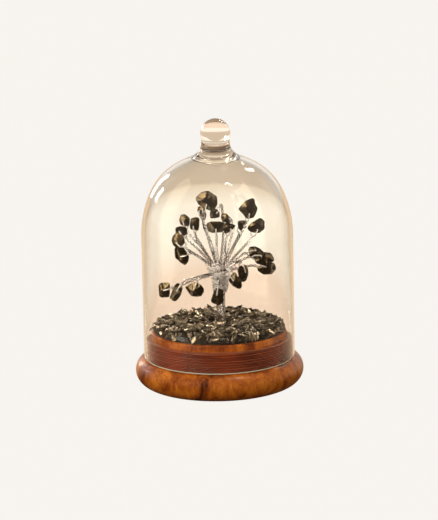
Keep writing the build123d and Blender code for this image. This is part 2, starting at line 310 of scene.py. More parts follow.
@dataclass(frozen=True)
class BurlWood:
    """Varnished orange-brown burl, softly clouded and flamed, with a few dark specks."""

    light: Colour = srgb(206, 119, 34)
    middle: Colour = srgb(176, 91, 20)
    deep: Colour = srgb(136, 62, 9)
    dark: Colour = srgb(74, 32, 8)
    cloud_scale: float = 0.055
    flame_scale: float = 0.21
    flame_stretch: float = 0.22
    speck_scale: float = 0.11
    grain_depth: float = 0.05 * MM

    def make(self) -> bpy.types.Material:
        """Builds the material.

        Returns:
            The material.
        """
        wood = Finish("burl_wood")
        place = wood.place()
        across, depth, height = wood.parts(place)
        clouds = wood.clouds(place, self.cloud_scale, detail=4.0, rough=0.6, swirl=1.2)
        stretched = {0: across, 1: depth, 2: height * self.flame_stretch}
        upright = wood.add("ShaderNodeCombineXYZ", inputs=stretched)
        flames = wood.clouds(upright, self.flame_scale, detail=5.0, rough=0.62, swirl=0.7)
        fine = wood.clouds(upright, self.flame_scale * 6, detail=3.0, rough=0.6)
        figure = clouds * 0.5 + flames * 0.36 + fine * 0.14
        stops = [(0.385, self.dark), (0.445, self.deep), (0.52, self.middle), (0.60, self.light)]
        body = wood.add("ShaderNodeValToRGB", {"stops": stops}, {0: figure})
        pores = wood.clouds(place, self.flame_scale * 9, detail=2.0).spread(0.62, 0.74)
        speckled = wood.clouds(place, self.speck_scale, detail=2.0).spread(0.52, 0.66)
        specks = wood.cells(place, self.speck_scale * 6).spread(0.34, 0.14) * speckled
        body = wood.blend(pores * 0.5, body, self.deep)
        body = wood.blend(specks * 0.8, body, self.dark)
        shader = wood.principled(
            Base_Color=body,
            Roughness=figure.spread(0.35, 0.65, 0.38, 0.26),
            Normal=wood.bump(fine * 0.6 + flames * 0.4, self.grain_depth, 0.3),
            Specular_IOR_Level=0.2,
            Coat_Weight=0.11,
            Coat_Roughness=0.2,
        )
        return wood.surface(shader)


@dataclass(frozen=True)
class RibbedStrip:
    """Glossy maroon-brown moulded strip: a painted pale highlight along its ribs, a painted sheen on its
    upper edge and pale dust here and there.
    """

    body: Colour = srgb(122, 42, 7)
    shade: Colour = srgb(88, 27, 5)
    # Colour of the painted highlight along the ribs.
    line: Colour = srgb(196, 104, 62)
    # Pale colour of dust, and of the painted sheen on the upper edge.
    dust_and_top_sheen: Colour = srgb(146, 92, 68)
    top_height: float = 26.0
    top_fade: float = 0.25
    rib_pitch: float = 1.35
    sheen_stretch: float = 20.0

    def make(self) -> bpy.types.Material:
        """Builds the material.

        Returns:
            The material.
        """
        strip = Finish("ribbed_strip")
        place = strip.place()
        across, depth, height = strip.parts(place)
        cloud = strip.clouds(place, 0.06, detail=3.0)
        ribs = (height * (2 * math.pi / self.rib_pitch)).to("COSINE")
        flat = strip.add("ShaderNodeCombineXYZ", inputs={0: across, 1: depth, 2: height * self.sheen_stretch})
        sheen_breakup = strip.clouds(flat, 0.035, detail=2.0).spread(0.38, 0.6)
        # Painted highlight: pale lines along the ribs, broken up by stretched noise.
        rib_sheen = ribs.spread(0.3, 0.95) * sheen_breakup
        body = strip.blend(cloud.spread(0.38, 0.62), self.shade, self.body)
        body = strip.blend(rib_sheen * 0.65, body, self.line)
        dust = strip.clouds(place, 1.6, detail=2.0).spread(0.68, 0.76) * 0.5
        body = strip.blend(dust, body, self.dust_and_top_sheen)
        # Painted sheen: the upper edge is made paler, as if lit from above.
        lit_top = height.spread(self.top_height, self.top_height + self.top_fade)
        body = strip.blend(lit_top * 0.7, body, self.dust_and_top_sheen)
        shader = strip.principled(
            Base_Color=body,
            Roughness=rib_sheen.spread(0.0, 1.0, 0.3, 0.42),
            Specular_IOR_Level=0.3,
        )
        return strip.surface(shader)


@dataclass(frozen=True)
class PyriteNugget:
    """Tumbled pyrite: dark bronze, polished, with brassy patches, dull pits and small crystals."""

    body: Colour = srgb(76, 61, 30)
    dark: Colour = srgb(44, 34, 15)
    brass: Colour = srgb(176, 140, 84)
    brass_share: float = 0.26
    patch_scale: float = 0.16
    crystal_scale: float = 1.3
    relief: float = 0.08 * MM

    def make(self) -> bpy.types.Material:
        """Builds the material.

        Returns:
            The material.
        """
        stone = Finish("tumbled_pyrite")
        place = stone.place()
        patches = stone.clouds(place, self.patch_scale, detail=4.0, rough=0.6, swirl=0.6)
        crystals = stone.cells(place, self.crystal_scale, output="Color")
        grain, tone, _ = stone.parts(crystals)
        body = stone.blend(patches.spread(0.36, 0.60), self.dark, self.body)
        brassy = tone.spread(0.75, 1.0) * patches.spread(0.42, 0.6)
        body = stone.blend(brassy * self.brass_share, body, self.brass)
        pits = stone.clouds(place, self.crystal_scale * 1.7, detail=3.0).spread(0.60, 0.70)
        body = stone.blend(pits * 0.35, body, self.dark)
        height = grain * 0.12 + patches * 0.5 - pits * 0.3
        shader = stone.principled(
            Base_Color=body,
            Metallic=patches.spread(0.3, 0.7, 0.82, 0.95),
            Roughness=grain.spread(0.0, 1.0, 0.10, 0.18) + pits * 0.15,
            Normal=stone.bump(height, self.relief, 0.3),
            Specular_IOR_Level=0.5,
            Coat_Weight=0.5,
            Coat_Roughness=0.05,
        )
        return stone.surface(shader)


@dataclass(frozen=True)
class PyriteChips:
    """Broken pyrite: olive-bronze chips of uneven tone that glint where a face catches light."""

    body: Colour = srgb(128, 117, 98)
    dark: Colour = srgb(24, 20, 14)
    pale: Colour = srgb(246, 229, 206)
    rust: Colour = srgb(124, 88, 50)
    relief: float = 0.08 * MM
    tone_name: str = "tone"

    def make(self) -> bpy.types.Material:
        """Builds the material.

        Returns:
            The material.
        """
        chips = Finish("pyrite_chips")
        place = chips.place()
        tone = chips.add("ShaderNodeAttribute", {"attribute_name": self.tone_name}, output="Fac")
        mottle = chips.clouds(place, 0.5, detail=3.0, rough=0.55)
        shade = tone * 0.85 + mottle * 0.3
        body = chips.blend(shade.spread(0.25, 0.75), self.dark, self.body)
        body = chips.blend(tone.spread(0.76, 0.96), body, self.pale)
        rusty = chips.clouds(place, 0.25, detail=2.0).spread(0.55, 0.7) * 0.2
        body = chips.blend(rusty, body, self.rust)
        shader = chips.principled(
            Base_Color=body,
            Metallic=tone.spread(0.0, 1.0, 0.35, 0.75),
            Roughness=mottle.spread(0.3, 0.7, 0.12, 0.30),
            Normal=chips.bump(mottle, self.relief, 0.25),
            Specular_IOR_Level=0.5,
        )
        return chips.surface(shader)


@dataclass(frozen=True)
class SlateChip:
    """The one blue-grey chip among the pyrite."""

    body: Colour = srgb(112, 122, 134)
    dark: Colour = srgb(70, 78, 88)
    relief: float = 0.1 * MM

    def make(self) -> bpy.types.Material:
        """Builds the material.

        Returns:
            The material.
        """
        slate = Finish("slate_chip")
        mottle = slate.clouds(slate.place(), 0.7, detail=3.0)
        shader = slate.principled(
            Base_Color=slate.blend(mottle.spread(0.35, 0.65), self.dark, self.body),
            Roughness=mottle.spread(0.3, 0.7, 0.3, 0.5),
            Normal=slate.bump(mottle, self.relief, 0.4),
        )
        return slate.surface(shader)


@dataclass(frozen=True)
class ResinWithGapShade:
    """The binder under the chips, glossy in places and gritty; its near-black colour is also painted shade
    for the gaps between the chips.
    """

    # Near-black: painted shade where the binder shows between the chips.
    body: Colour = srgb(12, 10, 6)
    grit: Colour = srgb(34, 28, 18)
    relief: float = 0.3 * MM

    def make(self) -> bpy.types.Material:
        """Builds the material.

        Returns:
            The material.
        """
        resin = Finish("dark_resin")
        place = resin.place()
        grains = resin.clouds(place, 1.1, detail=3.0, rough=0.7)
        shader = resin.principled(
            Base_Color=resin.blend(grains.spread(0.45, 0.7), self.body, self.grit),
            Roughness=grains.spread(0.3, 0.7, 0.3, 0.6),
            Normal=resin.bump(grains, self.relief, 0.7),
        )
        return resin.surface(shader)


@dataclass(frozen=True)
class TinnedWire:
    """Silver-coloured wire, brightly drawn, dulled brown here and there by handling."""

    bright: Colour = srgb(246, 243, 244)
    dull: Colour = srgb(98, 82, 72)
    tarnish: Colour = srgb(62, 41, 27)
    foot: Colour = srgb(134, 119, 106)
    clean_height: float = 47.0
    foot_height: float = 40.0
    relief: float = 0.02 * MM

    def make(self) -> bpy.types.Material:
        """Builds the material, paler and softer on loops and windings.

        Returns:
            The material.
        """
        wire = Finish("tinned_wire")
        lay = wire.add("ShaderNodeAttribute", {"attribute_name": SPREAD}, output="Fac")
        loose = lay.spread(0.5, 0.0)
        place = wire.place()
        age = wire.clouds(place, 0.16, detail=4.0, rough=0.6)
        scuffs = wire.clouds(place, 2.4, detail=2.0)
        body = wire.blend(age.spread(0.46, 0.56), self.bright, self.dull)
        stained = scuffs.spread(0.5, 0.66) * age.spread(0.48, 0.62)
        body = wire.blend(stained * 0.8, body, self.tarnish)
        _, _, height = wire.parts(place)
        low = height.spread(self.clean_height, self.foot_height) * scuffs.spread(0.35, 0.6, 0.2, 0.8)
        body = wire.blend(low, body, self.foot)
        body = wire.blend(loose * 0.8, body, self.bright)
        shader = wire.principled(
            Base_Color=body,
            Metallic=0.97 - low * 0.4 - loose * 0.5,
            Roughness=age.spread(0.3, 0.7, 0.05, 0.16) + low * 0.2 + loose * 0.15,
            Normal=wire.bump(scuffs, self.relief, 0.3),
        )
        return wire.surface(shader)


@dataclass(frozen=True)
class ClearGlass:
    """Clear blown glass that warms with its depth; its ground rim is pale greenish, partly a painted glow,
    and a painted brown shade band rings the neck.
    """

    cast: Colour = srgb(252, 248, 241)
    depth_colour: Colour = (0.82, 0.60, 0.34, 1.0)
    depth_density: float = 14.0
    ground_rim_and_glow: Colour = srgb(222, 226, 206)
    rim_height: float = 15.6
    rim_fade: float = 0.2
    # A painted band of brown shade round the neck.
    neck_shade_colour: Colour = srgb(178, 150, 122)
    neck_shade_height: float = 130.2
    neck_shade_width: float = 1.5
    neck_shade_share: float = 0.62
    ior: float = 1.45

    def make(self) -> bpy.types.Material:
        """Builds the material.

        Returns:
            The material.
        """
        glass = Finish("clear_glass")
        _, _, height = glass.parts(glass.place())
        solid = glass.principled(
            Base_Color=self.cast,
            Roughness=0.0,
            IOR=self.ior,
            Transmission_Weight=1.0,
        )
        # The ground rim's pale greenish colour is partly painted light: the glow seen in the thick rim.
        ground = glass.principled(Base_Color=self.ground_rim_and_glow, Roughness=0.6)
        at_rim = height.spread(self.rim_height, self.rim_height - self.rim_fade)
        body = glass.add("ShaderNodeMixShader", inputs={0: at_rim, 1: solid, 2: ground})
        # Painted shade: a brown band round the neck, mixed over the clear glass.
        neck_shade = glass.principled(Base_Color=self.neck_shade_colour, Roughness=0.4)
        below, above = self.neck_shade_height - self.neck_shade_width, self.neck_shade_height + self.neck_shade_width
        band = height.spread(below, self.neck_shade_height) * height.spread(above, self.neck_shade_height)
        body = glass.add("ShaderNodeMixShader", inputs={0: band * self.neck_shade_share, 1: body, 2: neck_shade})
        clear = glass.add("ShaderNodeBsdfTransparent", inputs={"Color": self.cast})
        shadow = glass.add("ShaderNodeLightPath", output="Is Shadow Ray")
        shader = glass.add("ShaderNodeMixShader", inputs={0: shadow, 1: body, 2: clear})
        depth = {"Color": self.depth_colour, "Density": self.depth_density}
        return glass.surface(shader, glass.add("ShaderNodeVolumeAbsorption", inputs=depth))


class Outline:
    """A section beside the turning axis: distances from it and heights, anticlockwise."""

    def __init__(self) -> None:
        """Starts with no points."""
        self.points: list[Point] = []

    def to(self, *points: Point) -> "Outline":
        """Goes on straight to each point.

        Args:
            *points: The points, of which one that repeats the last is left out.

        Returns:
            The same outline.
        """
        for point in points:
            if not self.points or math.dist(point, self.points[-1]) > TINY:
                self.points.append(point)
        return self

    def arc(self, centre: Point, radius: float, start: float, sweep: float, step: float = 3.0) -> "Outline":
        """Goes on along an arc.

        Args:
            centre: Its middle.
            radius: Its radius.
            start: The angle in degrees where it starts, from outwards.
            sweep: How far it turns, in degrees.
            step: The largest turn between points.

        Returns:
            The same outline.
        """
        count = max(2, math.ceil(abs(sweep) / step))
        return self.to(*(polar(centre, radius, start + sweep * index / count) for index in range(count + 1)))


def bezier(corners: Sequence[Point], count: int) -> list[Point]:
    """Points along a cubic curve, after its first corner.

    Args:
        corners: Its four corners.
        count: How many points it gets.

    Returns:
        The points.
    """
    steps = np.linspace(0, 1, count + 1)[1:, None]
    back = 1 - steps
    shares = np.hstack([back**3, 3 * steps * back**2, 3 * steps**2 * back, steps**3])
    return [tuple(point) for point in shares @ np.array(corners)]


def polar(centre: Point, radius: float, angle: float) -> Point:
    """The point at an angle in degrees round a centre."""
    turn = math.radians(angle)
    return (centre[0] + radius * math.cos(turn), centre[1] + radius * math.sin(turn))


def turned_mesh(
    name: str, section: Sequence[Point], sides: int, start: float = 0.0, sweep: float = 360.0
) -> bpy.types.Mesh:
    """Turns a closed section round the upright axis.

    Args:
        name: The mesh's name.
        section: Its points, anticlockwise.
        sides: Faces in the whole sweep.
        start: The angle in degrees where the sweep starts.
        sweep: How far it goes, with flat ends where it is less than a full turn.

    Returns:
        The mesh, its faces pointing outwards.
    """
    shell = bmesh.new()
    whole = sweep == 360.0
    ring_count = sides if whole else sides + 1
    angles = [math.radians(start + sweep * index / sides) for index in range(ring_count)]
    rows = []
    for reach, height in section:
        if reach < TINY:
            middle = shell.verts.new((0, 0, height))
            rows.append([middle] * ring_count)
        else:
            rows.append([shell.verts.new((reach * math.cos(a), reach * math.sin(a), height)) for a in angles])
    for here, there in zip(rows, rows[1:] + rows[:1]):
        for index in range(sides):
            following = (index + 1) % ring_count
            corners = [here[index], here[following], there[following], there[index]]
            kept = list(dict.fromkeys(corners))
            if len(kept) > 2:
                shell.faces.new(kept)
    if not whole:
        shell.faces.new([row[0] for row in rows])
        shell.faces.new([row[-1] for row in reversed(rows)])
    mesh = bpy.data.meshes.new(name)
    shell.to_mesh(mesh)
    shell.free()
    return mesh


def piece_of(name: str, mesh: bpy.types.Mesh, material: bpy.types.Material | None = None) -> bpy.types.Object:
    """Puts a mesh in the scene as an object at the origin.

    Args:
        name: The piece's name.
        mesh: Its mesh, already in place.
        material: Its finish, if the mesh doesn't carry one.

    Returns:
        The new object.
    """
    mesh.name = name
    if material is not None:
        mesh.materials.clear()
        mesh.materials.append(material)
    piece = bpy.data.objects.new(name, mesh)
    bpy.context.scene.collection.objects.link(piece)
    return piece


def smooth(mesh: bpy.types.Mesh, crease: float = 35.0) -> None:
    """Shades a mesh smooth, with edges sharper than the crease, in degrees, kept sharp."""
    mesh.shade_smooth()
    mesh.set_sharp_from_angle(angle=math.radians(crease))


def settle(piece: bpy.types.Object, body: str, slot: str, *nodes: str) -> None:
    """Makes a finished piece ride its body and stand for its nodes, and reports it.

    Args:
        piece: The finished piece.
        body: The body that it rides on.
        slot: Its material slot; not used.
        *nodes: The model's nodes that it stands for.
    """
    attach(piece, body)
    if nodes:
        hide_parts(*nodes)
    log.info("%s: %d faces on %s", piece.name, len(piece.data.polygons), body)


def evaluated(carrier: bpy.types.Object) -> bpy.types.Mesh:
    """Turns an object with modifiers into a plain mesh, and removes them and the object.

    Args:
        carrier: The object.

    Returns:
        Its mesh with the modifiers applied.
    """
    graph = bpy.context.evaluated_depsgraph_get()
    mesh = bpy.data.meshes.new_from_object(carrier.evaluated_get(graph), depsgraph=graph)
    carrier.modifiers.clear()
    bpy.data.objects.remove(carrier)
    return mesh


class GrowthTree(NodeBook):
    """A geometry tree with named inputs, which ends in Realize Instances and Set Material."""

    def __init__(self, name: str, sizes: dict[str, str]) -> None:
        """Makes the tree.

        Args:
            name: The tree's name.
            sizes: Its inputs' names and socket types, beside the geometry and the material.
        """
        self.group = bpy.data.node_groups.new(name, "GeometryNodeTree")
        super().__init__(self.group)
        face = self.group.interface
        face.new_socket("Geometry", in_out="INPUT", socket_type="NodeSocketGeometry")
        for title, kind in {**sizes, "Material": "NodeSocketMaterial"}.items():
            face.new_socket(title, in_out="INPUT", socket_type=kind)
        face.new_socket("Geometry", in_out="OUTPUT", socket_type="NodeSocketGeometry")
        self.door = self.add("NodeGroupInput").socket.node

    def given(self, title: str) -> Signal:
        """The signal of a named input."""
        return Signal(self, self.door.outputs[title])

    def end(self, geometry: Signal) -> None:
        """Realizes the geometry, gives it its material and makes it the result.

        Args:
            geometry: What has grown.
        """
        real = self.add("GeometryNodeRealizeInstances", inputs={"Geometry": geometry})
        dressing = {"Geometry": real, "Material": self.given("Material")}
        dressed = self.add("GeometryNodeSetMaterial", inputs=dressing)
        self.add("NodeGroupOutput", inputs={"Geometry": dressed})

    def grow(
        self, name: str, seed: bpy.types.Mesh, material: bpy.types.Material, **sizes: object
    ) -> bpy.types.Mesh:
        """Runs the tree once on a mesh.

        Args:
            name: The result's name.
            seed: The mesh that it starts from.
            material: The finish of the result.
            **sizes: Values of the named inputs, with _ for a space.

        Returns:
            The result as a plain mesh.
        """
        carrier = piece_of(name + "_seed", seed)
        modifier = carrier.modifiers.new("growth", "NODES")
        modifier.node_group = self.group
        named = {key.replace("_", " "): value for key, value in sizes.items()}
        for item in self.group.interface.items_tree:
            if item.in_out == "INPUT" and item.name in named:
                modifier[item.identifier] = named[item.name]
            elif item.in_out == "INPUT" and item.name == "Material":
                modifier[item.identifier] = material
        grown = evaluated(carrier)
        grown.name = name
        return grown


def strand_tree() -> GrowthTree:
    """A tree that lays strands round each path, twisted together like rope.

    The paths are chains of edges. Their point attribute "spread" widens or draws in the lay.

    Returns:
        The tree.
    """
    tree = GrowthTree(
        "twisted_strands",
        {
            "Strands": "NodeSocketInt",
            "Wire Radius": "NodeSocketFloat",
            "Lay Radius": "NodeSocketFloat",
            "Pitch": "NodeSocketFloat",
            "Sides": "NodeSocketInt",
        },
    )
    paths = tree.add("GeometryNodeMeshToCurve", inputs={"Mesh": tree.given("Geometry")})
    copies = {"Geometry": paths, "Amount": tree.given("Strands")}
    copied = tree.add("GeometryNodeDuplicateElements", {"domain": "SPLINE"}, copies)
    number = Signal(tree, copied.socket.node.outputs["Duplicate Index"])
    run = tree.add("GeometryNodeSplineParameter", output="Length")
    turns = run / tree.given("Pitch") + number / tree.given("Strands")
    angle = turns * (2 * math.pi)
    normal = tree.add("GeometryNodeInputNormal")
    tangent = tree.add("GeometryNodeInputTangent")
    aside = tree.add("ShaderNodeVectorMath", {"operation": "CROSS_PRODUCT"}, {0: tangent, 1: normal})
    wide = {"data_type": "FLOAT"}
    spread = tree.add("GeometryNodeInputNamedAttribute", wide, {"Name": SPREAD})
    reach = tree.given("Lay Radius") * spread
    offset = normal * (angle.to("COSINE") * reach) + aside * (angle.to("SINE") * reach)
    laid = tree.add("GeometryNodeSetPosition", inputs={"Geometry": copied, "Offset": offset})
    plain = tree.add("GeometryNodeSetCurveRadius", inputs={"Curve": laid, "Radius": 1.0})
    circle = {"Resolution": tree.given("Sides"), "Radius": tree.given("Wire Radius")}
    profile = tree.add("GeometryNodeCurvePrimitiveCircle", inputs=circle)
    swept = {"Curve": plain, "Profile Curve": profile, "Fill Caps": True}
    tubes = tree.add("GeometryNodeCurveToMesh", inputs=swept)
    tree.end(tree.add("GeometryNodeSetShadeSmooth", inputs={"Geometry": tubes}))
    return tree


class Path3(NamedTuple):
    """A chain of points and how wide the strands lie round each of them."""

    points: list[Vector]
    spreads: list[float]


def chain_mesh(name: str, paths: Sequence[Path3]) -> bpy.types.Mesh:
    """Makes a mesh of edge chains, each point with its spread.

    Args:
        name: The mesh's name.
        paths: The chains.

    Returns:
        The mesh.
    """
    points: list[Vector] = []
    edges: list[tuple[int, int]] = []
    spreads: list[float] = []
    for path in paths:
        first = len(points)
        points += path.points
        spreads += path.spreads
        edges += [(first + index, first + index + 1) for index in range(len(path.points) - 1)]
    mesh = bpy.data.meshes.new(name)
    mesh.from_pydata([tuple(point) for point in points], edges, [])
    attribute = mesh.attributes.new(SPREAD, "FLOAT", "POINT")
    attribute.data.foreach_set("value", np.array(spreads, np.float32))
    return mesh


def rounded(points: Sequence[Vector], bend: float, step: float, share: float = 0.45) -> list[Vector]:
    """Rounds the corners of a bent wire and sets points along it at even steps.

    Args:
        points: Its corners.
        bend: The most that a bend takes of each run.
        step: The distance between the new points.
        share: The largest share of a run that a bend takes.

    Returns:
        Points from the first corner to the last.
    """
    line = [points[0]]
    for before, corner, after in zip(points, points[1:], points[2:]):
        back, ahead = before - corner, after - corner
        reach = min(bend, share * back.length, share * ahead.length)
        start = corner + back.normalized() * reach
        end = corner + ahead.normalized() * reach
        for index in range(BEND_STEPS + 1):
            t = index / BEND_STEPS
            line.append(start * (1 - t) ** 2 + corner * (2 * t * (1 - t)) + end * t**2)
    line.append(points[-1])
    lengths = [0.0]
    for here, there in zip(line, line[1:]):
        lengths.append(lengths[-1] + (there - here).length)
    table = np.array([tuple(point) for point in line])
    wanted = np.linspace(0, lengths[-1], max(3, round(lengths[-1] / step) + 1))
    columns = [np.interp(wanted, lengths, table[:, axis]) for axis in range(3)]
    return [Vector(point) for point in zip(*columns)]


class StoneRow(NamedTuple):
    """Place, facing and size of one stone, as shares of the crown's reach or of a stone's size.

    The angles, in degrees, say how far its face turns and tilts and where its far end points.
    """

    across_share: float
    depth_share: float
    height_share: float
    turn: float
    tilt: float
    hang: float
    length_share: float
    thickness_share: float
    bow_share: float


STONE_ROWS = (
    StoneRow(-0.15, -0.06, 0.90, 12, 8, 72, 1.10, 0.50, 0.03),
    StoneRow(-0.23, 0.25, 0.72, -35, 10, 108, 0.66, 0.36, -0.04),
    StoneRow(-0.21, 0.48, 0.60, 15, -10, 95, 0.66, 0.36, 0.05),
    StoneRow(-0.03, 0.36, 0.65, 20, 5, 228, 0.64, 0.36, 0.05),
    StoneRow(-0.01, -0.42, 0.64, -5, -15, 88, 0.62, 0.44, 0.03),
    StoneRow(0.18, -0.16, 0.58, 25, 0, 70, 0.72, 0.42, -0.03),
    StoneRow(0.14, 0.17, 0.63, 30, 20, 122, 0.78, 0.40, 0.04),
    StoneRow(-0.49, 0.50, 0.54, -25, 15, 112, 0.72, 0.38, 0.02),
    StoneRow(-0.34, 0.20, 0.55, -15, 0, 96, 0.78, 0.38, -0.03),
    StoneRow(-0.54, 0.10, 0.49, -30, 10, 138, 0.66, 0.38, 0.03),
    StoneRow(-0.58, -0.32, 0.46, -35, -5, 150, 0.84, 0.42, -0.02),
    StoneRow(-0.54, -0.06, 0.22, -20, -10, 196, 0.72, 0.44, -0.02),
    StoneRow(0.47, -0.03, 0.78, 15, -5, 82, 1.15, 0.46, -0.03),
    StoneRow(0.58, -0.28, 0.61, 25, -5, 62, 0.95, 0.42, 0.02),
    StoneRow(0.37, 0.40, 0.49, 40, 10, 55, 0.66, 0.38, 0.03),
    StoneRow(0.58, 0.30, 0.15, 20, 40, 12, 0.80, 0.40, 0.03),
    StoneRow(0.69, 0.02, 0.14, 10, 38, -4, 1.05, 0.42, -0.03),
    StoneRow(0.73, -0.26, 0.07, 15, 25, -12, 1.00, 0.42, 0.03),
    StoneRow(0.38, -0.36, 0.04, 30, -5, -68, 0.94, 0.42, 0.03),
    StoneRow(0.26, -0.52, -0.02, -15, -10, -58, 0.92, 0.44, -0.03),
    StoneRow(-0.01, -0.31, -0.25, -12, 0, -98, 0.88, 0.42, 0.02),
    StoneRow(-0.80, -0.03, -0.22, -12, 5, 196, 0.62, 0.42, 0.03),
    StoneRow(-0.61, -0.24, -0.21, -20, 0, 236, 0.96, 0.42, -0.03),
    StoneRow(-0.35, -0.45, -0.13, -10, -5, -112, 0.80, 0.46, 0.03),
)


@dataclass
class WoodenBase:
    """The turned base: a flange with a full round edge and the plinth above it."""

    flange_thickness: float = 15.1 * MM
    plinth_radius: float = 35.8 * MM
    plinth_edge: float = 0.9 * MM
    edge_step: float = 15.0
    sides: int = 288

    def build(self) -> None:
        """Turns the base and gives it its burl."""
        low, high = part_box("wood_base")
        nose = self.flange_thickness / 2
        nose_centre = (high.x - nose, nose)
        edge = self.plinth_edge
        section = Outline().to((0, low.z), (high.x - nose, low.z))
        section.arc(nose_centre, nose, -90, 180)
        section.to((self.plinth_radius, self.flange_thickness), (self.plinth_radius, high.z - edge))
        section.arc((self.plinth_radius - edge, high.z - edge), edge, 0, 90, self.edge_step)
        section.to((0, high.z))
        mesh = turned_mesh("wood_base_turned", section.points, self.sides)
        smooth(mesh)
        settle(piece_of("wood_base_turned", mesh, BurlWood().make()), STAND, "wood", "wood_base")


@dataclass
class FitBand:
    """The ribbed strip wrapped round the plinth, open at the seam where its ends meet."""

    bottom: float = 15.1 * MM
    edge: float = 0.5 * MM
    rib_count: int = 12
    rib_depth: float = 0.24 * MM
    rib_steps: int = 8
    groove_power: int = 3
    seam_width: float = 0.14 * MM
    seam_angle: float = -115.5
    inner_radius: float = 35.9 * MM
    edge_step: float = 30.0
    crease: float = 50.0
    sides: int = 300

    def build(self) -> None:
        """Turns the strip, with a rounded groove between each pair of ribs."""
        _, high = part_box("fit_band")
        outer = high.x
        top = high.z
        foot = self.bottom
        section = Outline().to((self.inner_radius, foot))
        section.arc((outer - self.edge, foot + self.edge), self.edge, -90, 90, self.edge_step)
        flat_low, flat_high = foot + self.edge, top - self.edge
        steps = self.rib_count * self.rib_steps
        for index in range(1, steps):
            share = index / steps
            wave = 0.5 - 0.5 * math.cos(2 * math.pi * self.rib_count * share)
            dip = wave**self.groove_power
            section.to((outer - self.rib_depth * dip, flat_low + (flat_high - flat_low) * share))
        section.arc((outer - self.edge, top - self.edge), self.edge, 0, 90, self.edge_step)
        section.to((self.inner_radius, top))
        gap = math.degrees(self.seam_width / outer)
        start = self.seam_angle + gap / 2
        mesh = turned_mesh("fit_band_ribbed", section.points, self.sides, start, 360 - gap)
        smooth(mesh, self.crease)
        settle(piece_of("fit_band_ribbed", mesh, RibbedStrip().make()), STAND, "band", "fit_band")


